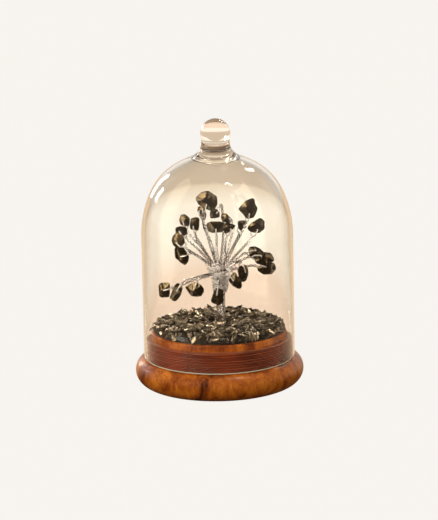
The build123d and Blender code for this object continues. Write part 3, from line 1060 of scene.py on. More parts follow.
@dataclass
class ChipBed:
    """The bed on the plinth: a crowned pad of resin, strewn with broken chips."""

    radius: float = 35.3 * MM
    edge_height: float = 0.3 * MM
    crown_height: float = 4.6 * MM
    crown_power: int = 22
    chip_length: float = 6.8 * MM
    chip_width: float = 2.9 * MM
    chip_thickness: float = 1.2 * MM
    chip_gap: float = 2.1 * MM
    grey_chip_place: Triple = (-19.2 * MM, -28.4 * MM, 32.3 * MM)
    grey_chip_turn: float = -28.0
    grey_chip_tilt: float = 38.0
    chip_density: float = 900000.0
    chip_tilt: float = 28.0
    chip_sizes: Point = (0.62, 1.08)
    chip_heights: Point = (-0.5 * MM, 0.45 * MM)
    chip_levels: tuple[Point, ...] = ((-0.5, 0.88), (-0.15, 1.0), (0.28, 0.97), (0.5, 0.74))
    chip_corners: tuple[int, ...] = (5, 6, 6, 7)
    chip_thicknesses: Point = (0.7, 1.35)
    chip_widths: Point = (0.6, 1.1)
    chip_slants: Point = (-0.35, 0.35)
    corner_strays: Point = (-0.12, 0.12)
    corner_reaches: Point = (0.82, 1.12)
    edge_fall: float = 0.9 * MM
    ground_inset: float = 0.8 * MM
    ground_thickness: float = 0.5 * MM
    trunk_gap: float = 1.9 * MM
    rings: int = 24
    pad_sides: int = 192
    ground_sides: int = 96
    shape_count: int = 9
    seed: int = 11
    grey_chip_seed: int = 3

    def build(self) -> None:
        """Makes the pad and scatters the chips over it."""
        self.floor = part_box("chip_bed")[0].z
        pad = turned_mesh("resin_pad", self._pad_section(), self.pad_sides)
        smooth(pad)
        settle(piece_of("resin_pad", pad, ResinWithGapShade().make()), STAND, "chips", "chip_bed")
        chips = self._scatter(PyriteChips().make())
        settle(piece_of("bed_chips", chips), STAND, "chips", "chip_bed")
        grey = self._chip_shape(0, Random(self.grey_chip_seed)).data
        turned = Matrix.Rotation(math.radians(self.grey_chip_turn), 4, "Z")
        tilted = Matrix.Rotation(math.radians(self.grey_chip_tilt), 4, "X")
        grey.transform(Matrix.Translation(self.grey_chip_place) @ turned @ tilted)
        settle(piece_of("grey_chip", grey, SlateChip().make()), STAND, "chips", "chip_bed")

    def surface(self, reach: float) -> float:
        """Height of the resin's crown at a distance from the axis."""
        fall = (reach / self.radius) ** self.crown_power
        return self.floor + self.crown_height - (self.crown_height - self.edge_height) * fall

    def _pad_section(self) -> list[Point]:
        """The pad's section.

        Returns:
            Its points, from the middle of the underside round to the crown.
        """
        inner = self.radius - self.edge_fall
        section = Outline().to((0, self.floor), (inner, self.floor))
        reaches = [inner * index / self.rings for index in range(self.rings, -1, -1)]
        return section.to(*((reach, self.surface(reach) - self.edge_fall) for reach in reaches)).points

    def _chip_shape(self, number: int, draw: Random) -> bpy.types.Object:
        """One broken chip: a lopsided slab with a few corners and bevelled upper edges.

        Args:
            number: Its number among the shapes.
            draw: The source of its chances.

        Returns:
            The chip as an object that is in no collection yet.
        """
        shell = bmesh.new()
        corner_count = draw.choice(self.chip_corners)
        turn = draw.uniform(0, 2 * math.pi)
        thickness = self.chip_thickness * draw.uniform(*self.chip_thicknesses)
        narrow = draw.uniform(*self.chip_widths)
        slant = Vector((draw.uniform(*self.chip_slants), draw.uniform(*self.chip_slants)))
        rings = []
        for level, share in self.chip_levels:
            ring = []
            for corner in range(corner_count):
                place = corner + draw.uniform(*self.corner_strays)
                bearing = turn + 2 * math.pi * place / corner_count
                reach = draw.uniform(*self.corner_reaches) * share
                x = math.cos(bearing) * reach * self.chip_length / 2
                y = math.sin(bearing) * reach * self.chip_width / 2 * narrow
                ring.append(shell.verts.new((x, y, level * thickness + slant.x * x + slant.y * y)))
            rings.append(ring)
        for lower, upper in zip(rings, rings[1:]):
            for corner in range(corner_count):
                after = (corner + 1) % corner_count
                shell.faces.new((lower[corner], lower[after], upper[after], upper[corner]))
        shell.faces.new(list(reversed(rings[0])))
        shell.faces.new(rings[-1])
        bmesh.ops.triangulate(shell, faces=shell.faces)
        mesh = bpy.data.meshes.new(f"chip_shape_{number:02d}")
        shell.to_mesh(mesh)
        shell.free()
        return bpy.data.objects.new(mesh.name, mesh)

    def _tree(self, shapes: bpy.types.Collection) -> GrowthTree:
        """The tree that strews the chips over a surface.

        Args:
            shapes: The chips' shapes.

        Returns:
            The tree.
        """
        tree = GrowthTree(
            "strewn_chips",
            {
                "Gap": "NodeSocketFloat",
                "Density": "NodeSocketFloat",
                "Tilt": "NodeSocketFloat",
                "Seed": "NodeSocketInt",
            },
        )
        seed = tree.given("Seed")
        spots = tree.add(
            "GeometryNodeDistributePointsOnFaces",
            {"distribute_method": "POISSON"},
            {
                "Mesh": tree.given("Geometry"),
                "Distance Min": tree.given("Gap"),
                "Density Max": tree.given("Density"),
                "Seed": seed,
            },
        )
        lean = Signal(tree, spots.socket.node.outputs["Rotation"])
        tilt = tree.given("Tilt")
        whole_turn = tree.add("ShaderNodeCombineXYZ", inputs={0: tilt, 1: tilt, 2: math.pi})
        none = tree.add("ShaderNodeVectorMath", {"operation": "SCALE"}, {0: whole_turn, "Scale": -1.0})
        ranges = {0: none, 1: whole_turn, "Seed": seed}
        toss = tree.add("FunctionNodeRandomValue", {"data_type": "FLOAT_VECTOR"}, ranges)
        tossed = tree.add("FunctionNodeEulerToRotation", inputs={0: toss})
        turned = tree.add("FunctionNodeRotateRotation", {"rotation_space": "LOCAL"}, {0: lean, 1: tossed})
        sizes = {2: self.chip_sizes[0], 3: self.chip_sizes[1], "Seed": seed + 1}
        size = tree.add("FunctionNodeRandomValue", {"data_type": "FLOAT"}, sizes, output=1)
        rise = {2: self.chip_heights[0], 3: self.chip_heights[1], "Seed": seed + 2}
        heights = tree.add("FunctionNodeRandomValue", {"data_type": "FLOAT"}, rise, output=1)
        up = tree.add("ShaderNodeCombineXYZ", inputs={2: heights})
        raised = tree.add("GeometryNodeSetPosition", inputs={"Geometry": spots, "Offset": up})
        source = {"Collection": shapes, "Separate Children": True, "Reset Children": True}
        kinds = tree.add("GeometryNodeCollectionInfo", inputs=source)
        chips = tree.add(
            "GeometryNodeInstanceOnPoints",
            inputs={
                "Points": raised,
                "Instance": kinds,
                "Pick Instance": True,
                "Rotation": turned,
                "Scale": size,
            },
        )
        tones = {2: 0.0, 3: 1.0, "Seed": seed + 3}
        tone = tree.add("FunctionNodeRandomValue", {"data_type": "FLOAT"}, tones, output=1)
        marked = {"Geometry": chips, "Name": PyriteChips.tone_name, "Value": tone}
        tree.end(tree.add("GeometryNodeStoreNamedAttribute", {"domain": "INSTANCE"}, marked))
        return tree

    def _scatter(self, material: bpy.types.Material) -> bpy.types.Mesh:
        """Strews the chips.

        Args:
            material: Their finish.

        Returns:
            All of them as one mesh.
        """
        draw = Random(self.seed)
        shapes = bpy.data.collections.new("chip_shapes")
        for number in range(1, self.shape_count + 1):
            shapes.objects.link(self._chip_shape(number, draw))
        ground = turned_mesh("bed_ground", self._ground_section(), self.ground_sides)
        keep_upward(ground)
        return self._tree(shapes).grow(
            "bed_chips",
            ground,
            material,
            Gap=self.chip_gap,
            Density=self.chip_density,
            Tilt=math.radians(self.chip_tilt),
            Seed=self.seed,
        )

    def _ground_section(self) -> list[Point]:
        """A thin shell over the crown, open round the trunk, that the chips are strewn on.

        Returns:
            The points of its section.
        """
        inner, outer = self.trunk_gap, self.radius - self.ground_inset
        reaches = [outer + (inner - outer) * index / self.rings for index in range(self.rings + 1)]
        top = [(reach, self.surface(reach)) for reach in reaches]
        under = [(reach, height - self.ground_thickness) for reach, height in reversed(top)]
        return under + top


def keep_upward(mesh: bpy.types.Mesh, least_rise: float = 0.3) -> None:
    """Deletes every face of a mesh that doesn't look up.

    Args:
        mesh: The mesh.
        least_rise: The least upward share of a kept face's normal.
    """
    shell = bmesh.new()
    shell.from_mesh(mesh)
    shell.normal_update()
    away = [face for face in shell.faces if face.normal.z < least_rise]
    bmesh.ops.delete(shell, geom=away, context="FACES")
    shell.to_mesh(mesh)
    shell.free()


class Lay(NamedTuple):
    """How strands are laid round a path."""

    strands: int
    wire_radius: float
    sides: int
    radius: float = 0.0
    pitch: float = 1.0


class Twig(NamedTuple):
    """Where one stone sits and how its wires run from the trunk's head to its hole."""

    centre: Vector
    along: Vector
    facing: Vector
    route: list[Vector]
    loop: list[Vector]


@dataclass
class WireTree:
    """The twisted wire trunk, its winding and tangle, and the twisted pairs that carry the stones."""

    trunk_offset: float = 1.2 * MM
    crown_reach: float = 36.0 * MM
    crown_height: float = 43.0 * MM
    stone_size: float = 10.0 * MM
    crotch_height: float = 62.0 * MM
    head_radius: float = 4.2 * MM
    head_half_height: float = 6.4 * MM
    wire_radius: float = 0.25 * MM
    loop_radius: float = 0.32 * MM
    pair_radius: float = 0.5 * MM
    pair_pitch: float = 4.5 * MM
    pair_looseness: float = 0.22 * MM
    wander: float = 0.45 * MM
    wander_scale: float = 120.0
    wander_seed: int = 7
    approach: float = 2.0 * MM
    loop_lead: float = 1.3 * MM
    loop_clearance: float = 0.3 * MM
    loop_root: float = 0.6 * MM
    loop_bend: float = 0.5 * MM
    strand_share: float = 0.44
    hole_inset: float = 1.9 * MM
    stitch_share: float = 0.17
    trunk_radius: float = 2.4 * MM
    trunk_strands: int = 12
    core_strands: int = 6
    strand_radius: float = 0.5 * MM
    core_strand_radius: float = 0.65 * MM
    core_strand_depth: float = 0.7 * MM
    trunk_pitch: float = 26.0 * MM
    core_pitch: float = 41.6 * MM
    trunk_steps: int = 80
    trunk_wander: float = 0.25
    trunk_top: float = 57.4 * MM
    inner_ring: float = 1.7 * MM
    outer_ring: float = 2.9 * MM
    ring_growth: float = 1.08
    pair_overlap: float = 3.5 * MM
    neck_rise: float = 0.8 * MM
    crotch_share: float = 0.8
    neck_share: float = 0.25
    pair_bend: float = 6.0 * MM
    loop_step_share: float = 0.6
    foot_height: float = 30.6 * MM
    core_bottom: float = 49.5 * MM
    core_radius: float = 3.3 * MM
    core_rise: float = 3.0 * MM
    fan_slope: float = 0.42
    winding_turns: int = 6
    winding_pitch: float = 1.08 * MM
    winding_rise: float = 0.9 * MM
    winding_lean: float = 0.45 * MM
    winding_lean_angle: float = 40.0
    winding_gap: float = 0.08 * MM
    steps_per_turn: int = 40
    step: float = 0.28 * MM
    tangle_count: int = 13
    tangle_seed: int = 5
    tangle_rises: Point = (0.5, 13.5)
    tangle_leans: Point = (0.5, 2.8)
    tangle_gaps: Point = (0.3, 0.9)
    tangle_turns: Point = (0.6, 1.4)
    curl_steps: int = 36
    curl_slip: float = 2.4
    curls: tuple[tuple[Triple, Triple, float], ...] = (
        ((4.6, -1.6, 61.5), (8.2, -3.0, 64.5), 1.2),
        ((4.0, -2.6, 64.0), (6.6, -4.2, 68.0), 0.9),
        ((-2.4, -2.4, 60.0), (-5.4, -4.0, 60.6), 0.9),
    )

    def __post_init__(self) -> None:
        """Plans every twig."""
        self.axis = Vector((self.trunk_offset, 0, 0))
        self.head = Vector((self.trunk_offset, 0, self.crotch_height))
        self.twigs = [self._plan(row) for row in STONE_ROWS]

    def _plan(self, row: StoneRow) -> Twig:
        """Works out one stone's place and the route of its wires.

        Args:
            row: The stone's row.

        Returns:
            The stone's middle and directions, the pair's corners and the loop's corners.
        """
        turn, tilt, hang = (math.radians(angle) for angle in (row.turn, row.tilt, row.hang))
        level = math.cos(tilt)
        facing = Vector((math.sin(turn) * level, -math.cos(turn) * level, math.sin(tilt)))
        hanging = Vector((math.cos(hang), 0, math.sin(hang)))
        along = (hanging - facing * hanging.dot(facing)).normalized()
        centre = Vector(
            (
                row.across_share * self.crown_reach,
                row.depth_share * self.crown_reach,
                self.crotch_height + row.height_share * self.crown_height,
            )
        )
        edge = centre - along * (row.length_share * self.stone_size / 2)
        hole = edge + along * self.hole_inset
        half_thickness = row.thickness_share * self.stone_size / 2
        side = facing * (half_thickness + self.loop_clearance + self.wire_radius)
        tip = edge - along * self.loop_lead
        bend = tip - along * self.approach
        outward = (bend - self.head).normalized()
        flat = math.hypot(outward.x, outward.y) / self.head_radius
        root = self.head + outward / math.hypot(flat, outward.z / self.head_half_height)
        run = bend - root
        sideways = run.normalized().cross(Vector((0, 0, 1))).normalized()
        middle = (root + bend) / 2 + sideways * (row.bow_share * run.length)
        strand = facing * (self.strand_share * self.pair_radius)
        start = tip - along * self.loop_root
        stitch = hole + along * (self.stitch_share * row.length_share * self.stone_size)
        out = [start + strand, tip + strand, edge + side, stitch + side]
        back = [hole - side, edge - side, tip - strand, start - strand]
        return Twig(centre, along, facing, [root, middle, bend, tip], out + back)

    def _slots(self) -> list[float]:
        """Spaces the pairs evenly round the trunk, in the order of their twigs' bearings.

        Returns:
            The bearing in radians at which each pair leaves the trunk.
        """
        bearings = [math.atan2(twig.route[0].y, twig.route[0].x - self.head.x) for twig in self.twigs]
        order = sorted(range(len(bearings)), key=lambda number: bearings[number])
        even = [2 * math.pi * place / len(order) - math.pi for place in range(len(order))]
        slots = [0.0] * len(order)
        for place, number in enumerate(order):
            slots[number] = even[place]
        return slots

    def _rising(self, twig: Twig, slot: float, outer: bool) -> list[Vector]:
        """The pair's corners, from inside the trunk up through the crotch to its stone.

        Args:
            twig: The pair's twig.
            slot: The bearing at which it leaves the trunk, in radians.
            outer: Whether it rises in the outer ring of pairs.

        Returns:
            Its corners.
        """
        ring = self.outer_ring if outer else self.inner_ring
        away = Vector((math.cos(slot), math.sin(slot), 0))
        foot = self.axis + away * ring + Vector((0, 0, self.core_bottom + self.pair_overlap))
        above = Vector((0, 0, self.trunk_top + self.neck_rise))
        neck = self.axis + away * (ring * self.ring_growth) + above
        crotch = self.head.lerp(twig.route[0], self.crotch_share)
        return [foot, neck, crotch.lerp(neck, self.neck_share), *twig.route[1:]]

    def _wandered(self, points: list[Vector], share: float = 1.0) -> list[Vector]:
        """Lets a wire stray a little between its ends, as a hand bends it.

        Args:
            points: Its points.
            share: How much of the usual straying it has.

        Returns:
            The strayed points.
        """
        last = len(points) - 1
        strayed = []
        for index, point in enumerate(points):
            amount = self.wander * share * math.sin(math.pi * index / last)
            strayed.append(point + noise.noise_vector(point * self.wander_scale) * amount)
        return strayed

    def build(self) -> None:
        """Makes the trunk, the winding and one piece for each twig."""
        noise.seed_set(self.wander_seed)
        self.wire = TinnedWire().make()
        self.tree = strand_tree()
        self._build_trunk()
        self._build_winding()
        pair_lay = Lay(2, self.wire_radius, 8, self.wire_radius + self.pair_looseness, self.pair_pitch)
        loop_lay = Lay(1, self.loop_radius, 8)
        for number, (twig, slot) in enumerate(zip(self.twigs, self._slots()), start=1):
            name = f"twig_{number:02d}"
            route = self._rising(twig, slot, outer=number % 3 > 0)
            pair = self._wandered(rounded(route, self.pair_bend, self.step))
            loop = rounded(twig.loop, self.loop_bend, self.step * self.loop_step_share)
            laid = self._laid(name, [Path3(pair, [1.0] * len(pair))], pair_lay)
            looped = self._laid(name, [Path3(loop, [0.0] * len(loop))], loop_lay)
            mesh = joined(name, [laid, looped])
            settle(piece_of(name, mesh), STAND, "wire", f"branch_{number:02d}")

    def _laid(self, name: str, paths: Sequence[Path3], lay: Lay) -> bpy.types.Mesh:
        """Lays strands round paths.

        Args:
            name: The mesh's name.
            paths: The paths.
            lay: How the strands are laid.

        Returns:
            The strands as one mesh.
        """
        return self.tree.grow(
            name,
            chain_mesh(name, paths),
            self.wire,
            Strands=lay.strands,
            Wire_Radius=lay.wire_radius,
            Lay_Radius=lay.radius,
            Pitch=lay.pitch,
            Sides=lay.sides,
        )

    def _build_trunk(self) -> None:
        """Lays the trunk's strands over a core, in two layers of different pitch."""
        rise = (self.trunk_top - self.foot_height) / self.trunk_steps
        heights = [self.foot_height + rise * index for index in range(self.trunk_steps + 1)]
        points = [self.axis + Vector((0, 0, height)) for height in heights]
        spreads = [self._girth(height) / self.trunk_radius for height in heights]
        reach = self.trunk_radius - self.strand_radius
        outer = Lay(self.trunk_strands, self.strand_radius, 10, reach, self.trunk_pitch)
        inner = Lay(
            self.core_strands, self.core_strand_radius, 8, reach - self.core_strand_depth, self.core_pitch
        )
        strayed = Path3(self._wandered(points, self.trunk_wander), spreads)
        strands = self._laid("trunk_outer", [strayed], outer)
        filling = self._laid("trunk_inner", [Path3(points, spreads)], inner)
        mesh = joined("trunk_strands", [strands, filling])
        settle(piece_of("trunk_strands", mesh), STAND, "wire", "trunk")

    def _girth(self, height: float) -> float:
        """The trunk's radius: even below, wider under the winding and at the head.

        Args:
            height: The height at which it is asked.

        Returns:
            The radius.
        """
        swell = min(1.0, max(0.0, (height - self.core_bottom) / self.core_rise))
        fan = max(0.0, height - self.trunk_top) * self.fan_slope
        return self.trunk_radius + (self.core_radius - self.trunk_radius) * swell + fan

    def _wind(self, turns: float, out: float, start: float, lean: float, lean_angle: float) -> Vector:
        """A point of a winding round the trunk.

        Args:
            turns: How many turns on it is.
            out: How far out from the trunk.
            start: The height where the winding starts.
            lean: How far its turns lean up and down.
            lean_angle: The bearing in degrees at which they are highest.

        Returns:
            The point.
        """
        angle = 2 * math.pi * turns
        height = start + self.winding_pitch * turns + lean * math.cos(angle - math.radians(lean_angle))
        radius = self._girth(height) + out
        return Vector((self.trunk_offset + radius * math.cos(angle), radius * math.sin(angle), height))

    def _curl(self, start: Vector, middle: Vector, size: float) -> Path3:
        """A spare end that leaves the crotch and curls round once and a half.

        Args:
            start: Where it leaves.
            middle: The curl's middle.
            size: The curl's radius.

        Returns:
            Its path.
        """
        out = (middle - start).normalized()
        aside = out.cross(Vector((0, 1, 0))).normalized()
        points = [start, start.lerp(middle - out * size, 0.5)]
        for index in range(self.curl_steps + 1):
            turn = 3 * math.pi * index / self.curl_steps
            slip = Vector((0, -self.wire_radius * self.curl_slip * turn / (2 * math.pi), 0))
            points.append(middle + (aside * math.sin(turn) - out * math.cos(turn)) * size + slip)
        return Path3(points, [0.0] * len(points))

    def _build_winding(self) -> None:
        """Winds one wire round the core, with looser wraps that cross it above."""
        snug = self.winding_gap + self.wire_radius
        start = self.core_bottom + self.winding_rise
        main = [
            self._wind(index / self.steps_per_turn, snug, start, self.winding_lean, self.winding_lean_angle)
            for index in range(self.winding_turns * self.steps_per_turn + 1)
        ]
        paths = [Path3(main, [0.0] * len(main))]
        draw = Random(self.tangle_seed)
        for _ in range(self.tangle_count):
            begin, lean_angle = draw.random(), draw.uniform(0, 360)
            above, lean = draw.uniform(*self.tangle_rises) * MM, draw.uniform(*self.tangle_leans) * MM
            out, turns = draw.uniform(*self.tangle_gaps) * MM, draw.uniform(*self.tangle_turns)
            wrap = [
                self._wind(begin + index / self.steps_per_turn, snug + out, start + above, lean, lean_angle)
                for index in range(int(turns * self.steps_per_turn))
            ]
            paths.append(Path3(self._wandered(wrap), [0.0] * len(wrap)))
        for leaving, middle, size in self.curls:
            paths.append(self._curl(Vector(leaving) * MM, Vector(middle) * MM, size * MM))
        mesh = self._laid("trunk_winding", paths, Lay(1, self.wire_radius, 10))
        settle(piece_of("trunk_winding", mesh), STAND, "wire", "trunk_binding")


def joined(name: str, meshes: Sequence[bpy.types.Mesh]) -> bpy.types.Mesh:
    """Puts several meshes of one finish into one.

    Args:
        name: The whole mesh's name.
        meshes: The meshes, of which the first is kept.

    Returns:
        The whole mesh.
    """
    shell = bmesh.new()
    for mesh in meshes:
        shell.from_mesh(mesh)
    whole = meshes[0]
    shell.to_mesh(whole)
    shell.free()
    whole.name = name
    return whole


STONE_OUTLINES = (
    ((-11, 2), (-9, 5), (-4, 9), (2, 10), (11, 3.5), (11, -4), (8, -9.5), (3, -10), (-8, -3.5)),
    ((-3.5, 3), (0, 4.5), (3.5, 3), (4, -1), (2, -4), (-2, -3.5), (-4, -1)),
    ((-4, 1), (-1, 4), (2.5, 3.5), (4, 0), (2.5, -3.5), (-1.5, -4)),
    ((-5, 2), (-3, 4.5), (2.5, 4), (5, 0.5), (4.5, -4), (0, -5), (-4.5, -4.5)),
    ((-10.5, 0), (-9, 3.5), (-5.5, 5.5), (3.5, 6), (8, 4.5), (10, 0.5), (6.5, -5.5), (-4, -6.5), (-8, -6)),
    ((-6.5, 4), (-0.5, 4.5), (7, 0.5), (2.5, -4), (-1, -6.5), (-4, -7), (-5.5, -4)),
    ((-5.5, -0.5), (-5, 3), (-3, 4.5), (0.5, 3), (7, -3), (2, -5.5), (-4, -4)),
    ((-5.5, 0.5), (-3, 5.5), (0.5, 6), (5.5, 2), (5.5, -3), (4, -6), (-1.5, -6), (-4, -3.5)),
    ((-4, 5.5), (2.5, 7.5), (5.5, 6.5), (5, -1.5), (4, -7), (-3.5, -5.5), (-5, -3)),
    ((-6, -1), (-5, 3), (-1, 4.5), (5, 3.5), (6, -1), (5.5, -6), (0, -7), (-5, -4)),
    ((-6.5, -2.5), (-5, 3.5), (-2, 7), (3.5, 7.5), (6.5, 3.5), (7, -1), (4, -5.5), (0.5, -8.5), (-4.5, -8)),
    ((-7, 5), (-4.5, 8.5), (1, 9), (5, 4), (8, -0.5), (7, -6), (4, -10.5), (0, -9), (-6, -4.5)),
    (
        (-10, 0.5), (-7, 5), (-2.5, 9), (4, 11), (6, 9.5), (7, 4),
        (9, 0), (8, -5), (5.5, -10.5), (-1, -11), (-8, -2),
    ),
    ((-9.5, -1), (-8, 2.5), (-5, 5), (2.5, 8.5), (5.5, 7), (8.5, 3), (8.5, -3.5), (3.5, -8.5), (-5.5, -5.5)),
    ((-6, 1.5), (-4, 4), (2, 4.5), (7.5, 3.5), (6, -1.5), (3.5, -4.5), (-1, -6), (-4.5, -3.5)),
    ((-8, 2), (-6, 4), (0, 5), (4, 4), (8, 1.5), (8, -1), (3, -4), (-3, -5.5), (-6.5, -3.5)),
    (
        (-10.5, -2.5), (-8.5, 1), (-5, 3.5), (0.5, 5), (6.5, 5),
        (9, 2.5), (10.5, -1.5), (2.5, -5), (-5.5, -5.5),
    ),
    ((-10.5, -2), (-9.5, 1), (-7, 3.5), (0, 5), (6.5, 5.5), (8.5, 1.5), (8, -1), (4, -5), (-4, -5.5)),
    ((-6, 5.5), (-3.5, 8), (-0.5, 9), (3, 7.5), (5, -1.5), (4.5, -5), (2, -8), (-1, -9), (-5, -7)),
    ((-7.5, -0.5), (-5, 5), (-2.5, 8), (-0.5, 8), (5.5, -0.5), (6, -5), (4.5, -8), (1, -8), (-3, -6.5)),
    ((-3.5, 6), (-2, 7.5), (1, 8.5), (6, 8), (6, 0), (5, -8), (0, -9), (-5, -7.5), (-7, -5.5), (-6, -2)),
    ((-5.5, 5), (-3.5, 7), (4.5, 7.5), (6, 6), (5.5, -2.5), (5, -7), (-2.5, -7.5), (-5, -6)),
    ((-7, -5.5), (-5, 0.5), (-2.5, 6.5), (0, 9.5), (4, 9.5), (7, 6.5), (3.5, -3.5), (-1, -9), (-4, -9)),
    (
        (-9.5, 1), (-5, 4.5), (-1, 7), (2, 7.5), (7, 5),
        (9.5, 1.5), (9.5, -3.5), (8, -6.5), (2, -7.5), (-3, -7),
    ),
)


@dataclass
class Nuggets:
    """The tumbled stones: the model's drilled solids, brought to their own outlines and worn."""

    twigs: list[Twig]
    outline_step: float = 0.54 * MM
    least_growth: float = 0.78
    most_growth: float = 1.5
    hole_inset: float = 1.9 * MM
    hole_guard: float = 1.3 * MM
    half_size: float = 5.0 * MM
    bearing_count: int = 90
    voxel: float = 0.17 * MM
    merge: float = 0.001 * MM
    relax: float = 0.5
    relax_rounds: int = 2
    even_rounds: int = 2
    soften: float = 0.05 * MM
    front_facets: int = 6
    back_facets: int = 3
    facet_strays: Point = (-0.35, 0.35)
    facet_tilts: Point = (28, 62)
    facet_cuts: Point = (0.25, 0.62)
    facet_wear: float = 0.94
    crease: float = 60.0
    swell: float = 0.07 * MM
    swell_scale: float = 380.0
    grit: float = 0.025 * MM
    grit_scale: float = 1500.0

    def build(self) -> None:
        """Makes one piece for each stone."""
        material = PyriteNugget().make()
        for number, (row, twig, outline) in enumerate(zip(STONE_ROWS, self.twigs, STONE_OUTLINES), start=1):
            mesh = self._remeshed(f"stone_{number:02d}")
            places = vertex_places(mesh)
            centre = np.array(twig.centre)
            points = self._faceted(places - centre, row, twig, Random(number))
            points = self._outlined(points, row, twig, outline)
            set_vertex_places(mesh, points + centre)
            self._roughen(mesh)
            smooth(mesh, self.crease)
            name = f"nugget_{number:02d}"
            settle(piece_of(name, mesh, material), STAND, "stone", f"stone_{number:02d}")

    def _remeshed(self, node: str) -> bpy.types.Mesh:
        """A merged copy of a stone's solid with an even net of faces.

        Args:
            node: The solid's node.

        Returns:
            The copy.
        """
        shell = bmesh.new()
        shell.from_mesh(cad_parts[node].data)
        bmesh.ops.remove_doubles(shell, verts=shell.verts, dist=self.merge)
        mesh = bpy.data.meshes.new(node + "_copy")
        shell.to_mesh(mesh)
        shell.free()
        carrier = piece_of(node + "_carrier", mesh)
        remesh = carrier.modifiers.new("net", "REMESH")
        remesh.mode = "VOXEL"
        remesh.voxel_size = self.voxel
        relax = carrier.modifiers.new("relax", "SMOOTH")
        relax.factor = self.relax
        relax.iterations = self.relax_rounds
        return evaluated(carrier)

    def _outlined(
        self, points: np.ndarray, row: StoneRow, twig: Twig, outline: Sequence[Point]
    ) -> np.ndarray:
        """Draws a stone in or out across its face until it has its own outline.

        Args:
            points: Its points about its middle.
            row: Its row.
            twig: Its place.
            outline: The wanted corners as seen from the front, in outline steps.

        Returns:
            The moved points.
        """
        facing = np.array(twig.facing)
        right = np.array((1.0, 0.0, 0.0)) - facing * facing[0]
        right /= np.linalg.norm(right)
        up = np.cross(facing, right)
        corners = np.array(outline) * self.outline_step / np.array((right[0], up[2]))
        across, rise = points @ right, points @ up
        bearings = np.arctan2(rise, across)
        reach = np.hypot(across, rise)
        grid = np.linspace(-math.pi, math.pi, self.bearing_count, endpoint=False)
        slots = np.round((bearings + math.pi) / (2 * math.pi) * self.bearing_count).astype(int)
        now = np.zeros(self.bearing_count)
        np.maximum.at(now, slots % self.bearing_count, reach)
        wanted = np.array([outline_reach(corners, bearing) for bearing in grid])
        for _ in range(self.even_rounds):
            wanted = wanted * 0.5 + (np.roll(wanted, 1) + np.roll(wanted, -1)) * 0.25
        growth = np.clip(wanted / now, self.least_growth, self.most_growth)
        share = np.interp(bearings, grid, growth, period=2 * math.pi) - 1
        hole = np.array(twig.along) * (self.hole_inset - row.length_share * self.half_size)
        away = np.hypot(across - hole @ right, rise - hole @ up)
        share = share * (1 - np.exp(-((away / self.hole_guard) ** 2)))
        return points + np.outer(across * share, right) + np.outer(rise * share, up)

    def _faceted(self, points: np.ndarray, row: StoneRow, twig: Twig, draw: Random) -> np.ndarray:
        """Wears soft flat facets into a stone's edges, most of them on its front.

        Args:
            points: Its points about its middle.
            row: Its row.
            twig: Its place.
            draw: The source of its chances.

        Returns:
            The moved points.
        """
        facing, along = np.array(twig.facing), np.array(twig.along)
        aside = np.cross(facing, along)
        depth = row.thickness_share * self.half_size
        total = self.front_facets + self.back_facets
        for index in range(total):
            side = 1 if index < self.front_facets else -1
            turn = 2 * math.pi * (index + draw.uniform(*self.facet_strays)) / self.front_facets
            tilt = math.radians(draw.uniform(*self.facet_tilts))
            flat = along * math.cos(turn) + aside * math.sin(turn)
            normal = flat * math.cos(tilt) + facing * (side * math.sin(tilt))
            height = points @ normal
            level = height.max() - depth * draw.uniform(*self.facet_cuts)
            over = np.logaddexp(0.0, (height - level) / self.soften) * self.soften
            points = points - np.outer(over * self.facet_wear, normal)
        return points

    def _roughen(self, mesh: bpy.types.Mesh) -> None:
        """Gives a stone the shallow hollows and the grit of a tumbled surface.

        Args:
            mesh: The stone.
        """
        normals = np.zeros(len(mesh.vertices) * 3)
        mesh.vertices.foreach_get("normal", normals)
        places = vertex_places(mesh)
        hollows = np.array([noise.noise(Vector(place * self.swell_scale)) for place in places])
        grits = np.array([noise.noise(Vector(place * self.grit_scale)) for place in places])
        rise = hollows * self.swell + grits * self.grit
        set_vertex_places(mesh, places + normals.reshape(-1, 3) * rise[:, None])


def vertex_places(mesh: bpy.types.Mesh) -> np.ndarray:
    """The places of a mesh's vertices.

    Args:
        mesh: The mesh.

    Returns:
        The places, a row for each vertex.
    """
    places = np.zeros(len(mesh.vertices) * 3)
    mesh.vertices.foreach_get("co", places)
    return places.reshape(-1, 3)


def set_vertex_places(mesh: bpy.types.Mesh, places: np.ndarray) -> None:
    """Moves a mesh's vertices to new places.

    Args:
        mesh: The mesh.
        places: The places, a row for each vertex.
    """
    mesh.vertices.foreach_set("co", places.ravel())
    mesh.update()


def outline_reach(corners: np.ndarray, bearing: float) -> float:
    """How far an outline reaches from its middle.

    Args:
        corners: The outline's corners about its middle.
        bearing: The bearing in radians.

    Returns:
        The distance to the outline at that bearing.
    """
    ray = np.array((math.cos(bearing), math.sin(bearing)))
    reach = 0.0
    for here, there in zip(corners, np.roll(corners, -1, axis=0)):
        run = there - here
        across = ray[0] * run[1] - ray[1] * run[0]
        if abs(across) < PARALLEL:
            continue
        distance = (here[0] * run[1] - here[1] * run[0]) / across
        share = (here[0] * ray[1] - here[1] * ray[0]) / across
        if distance > 0 and -SLIVER <= share <= 1 + SLIVER:
            reach = max(reach, distance)
    return reach


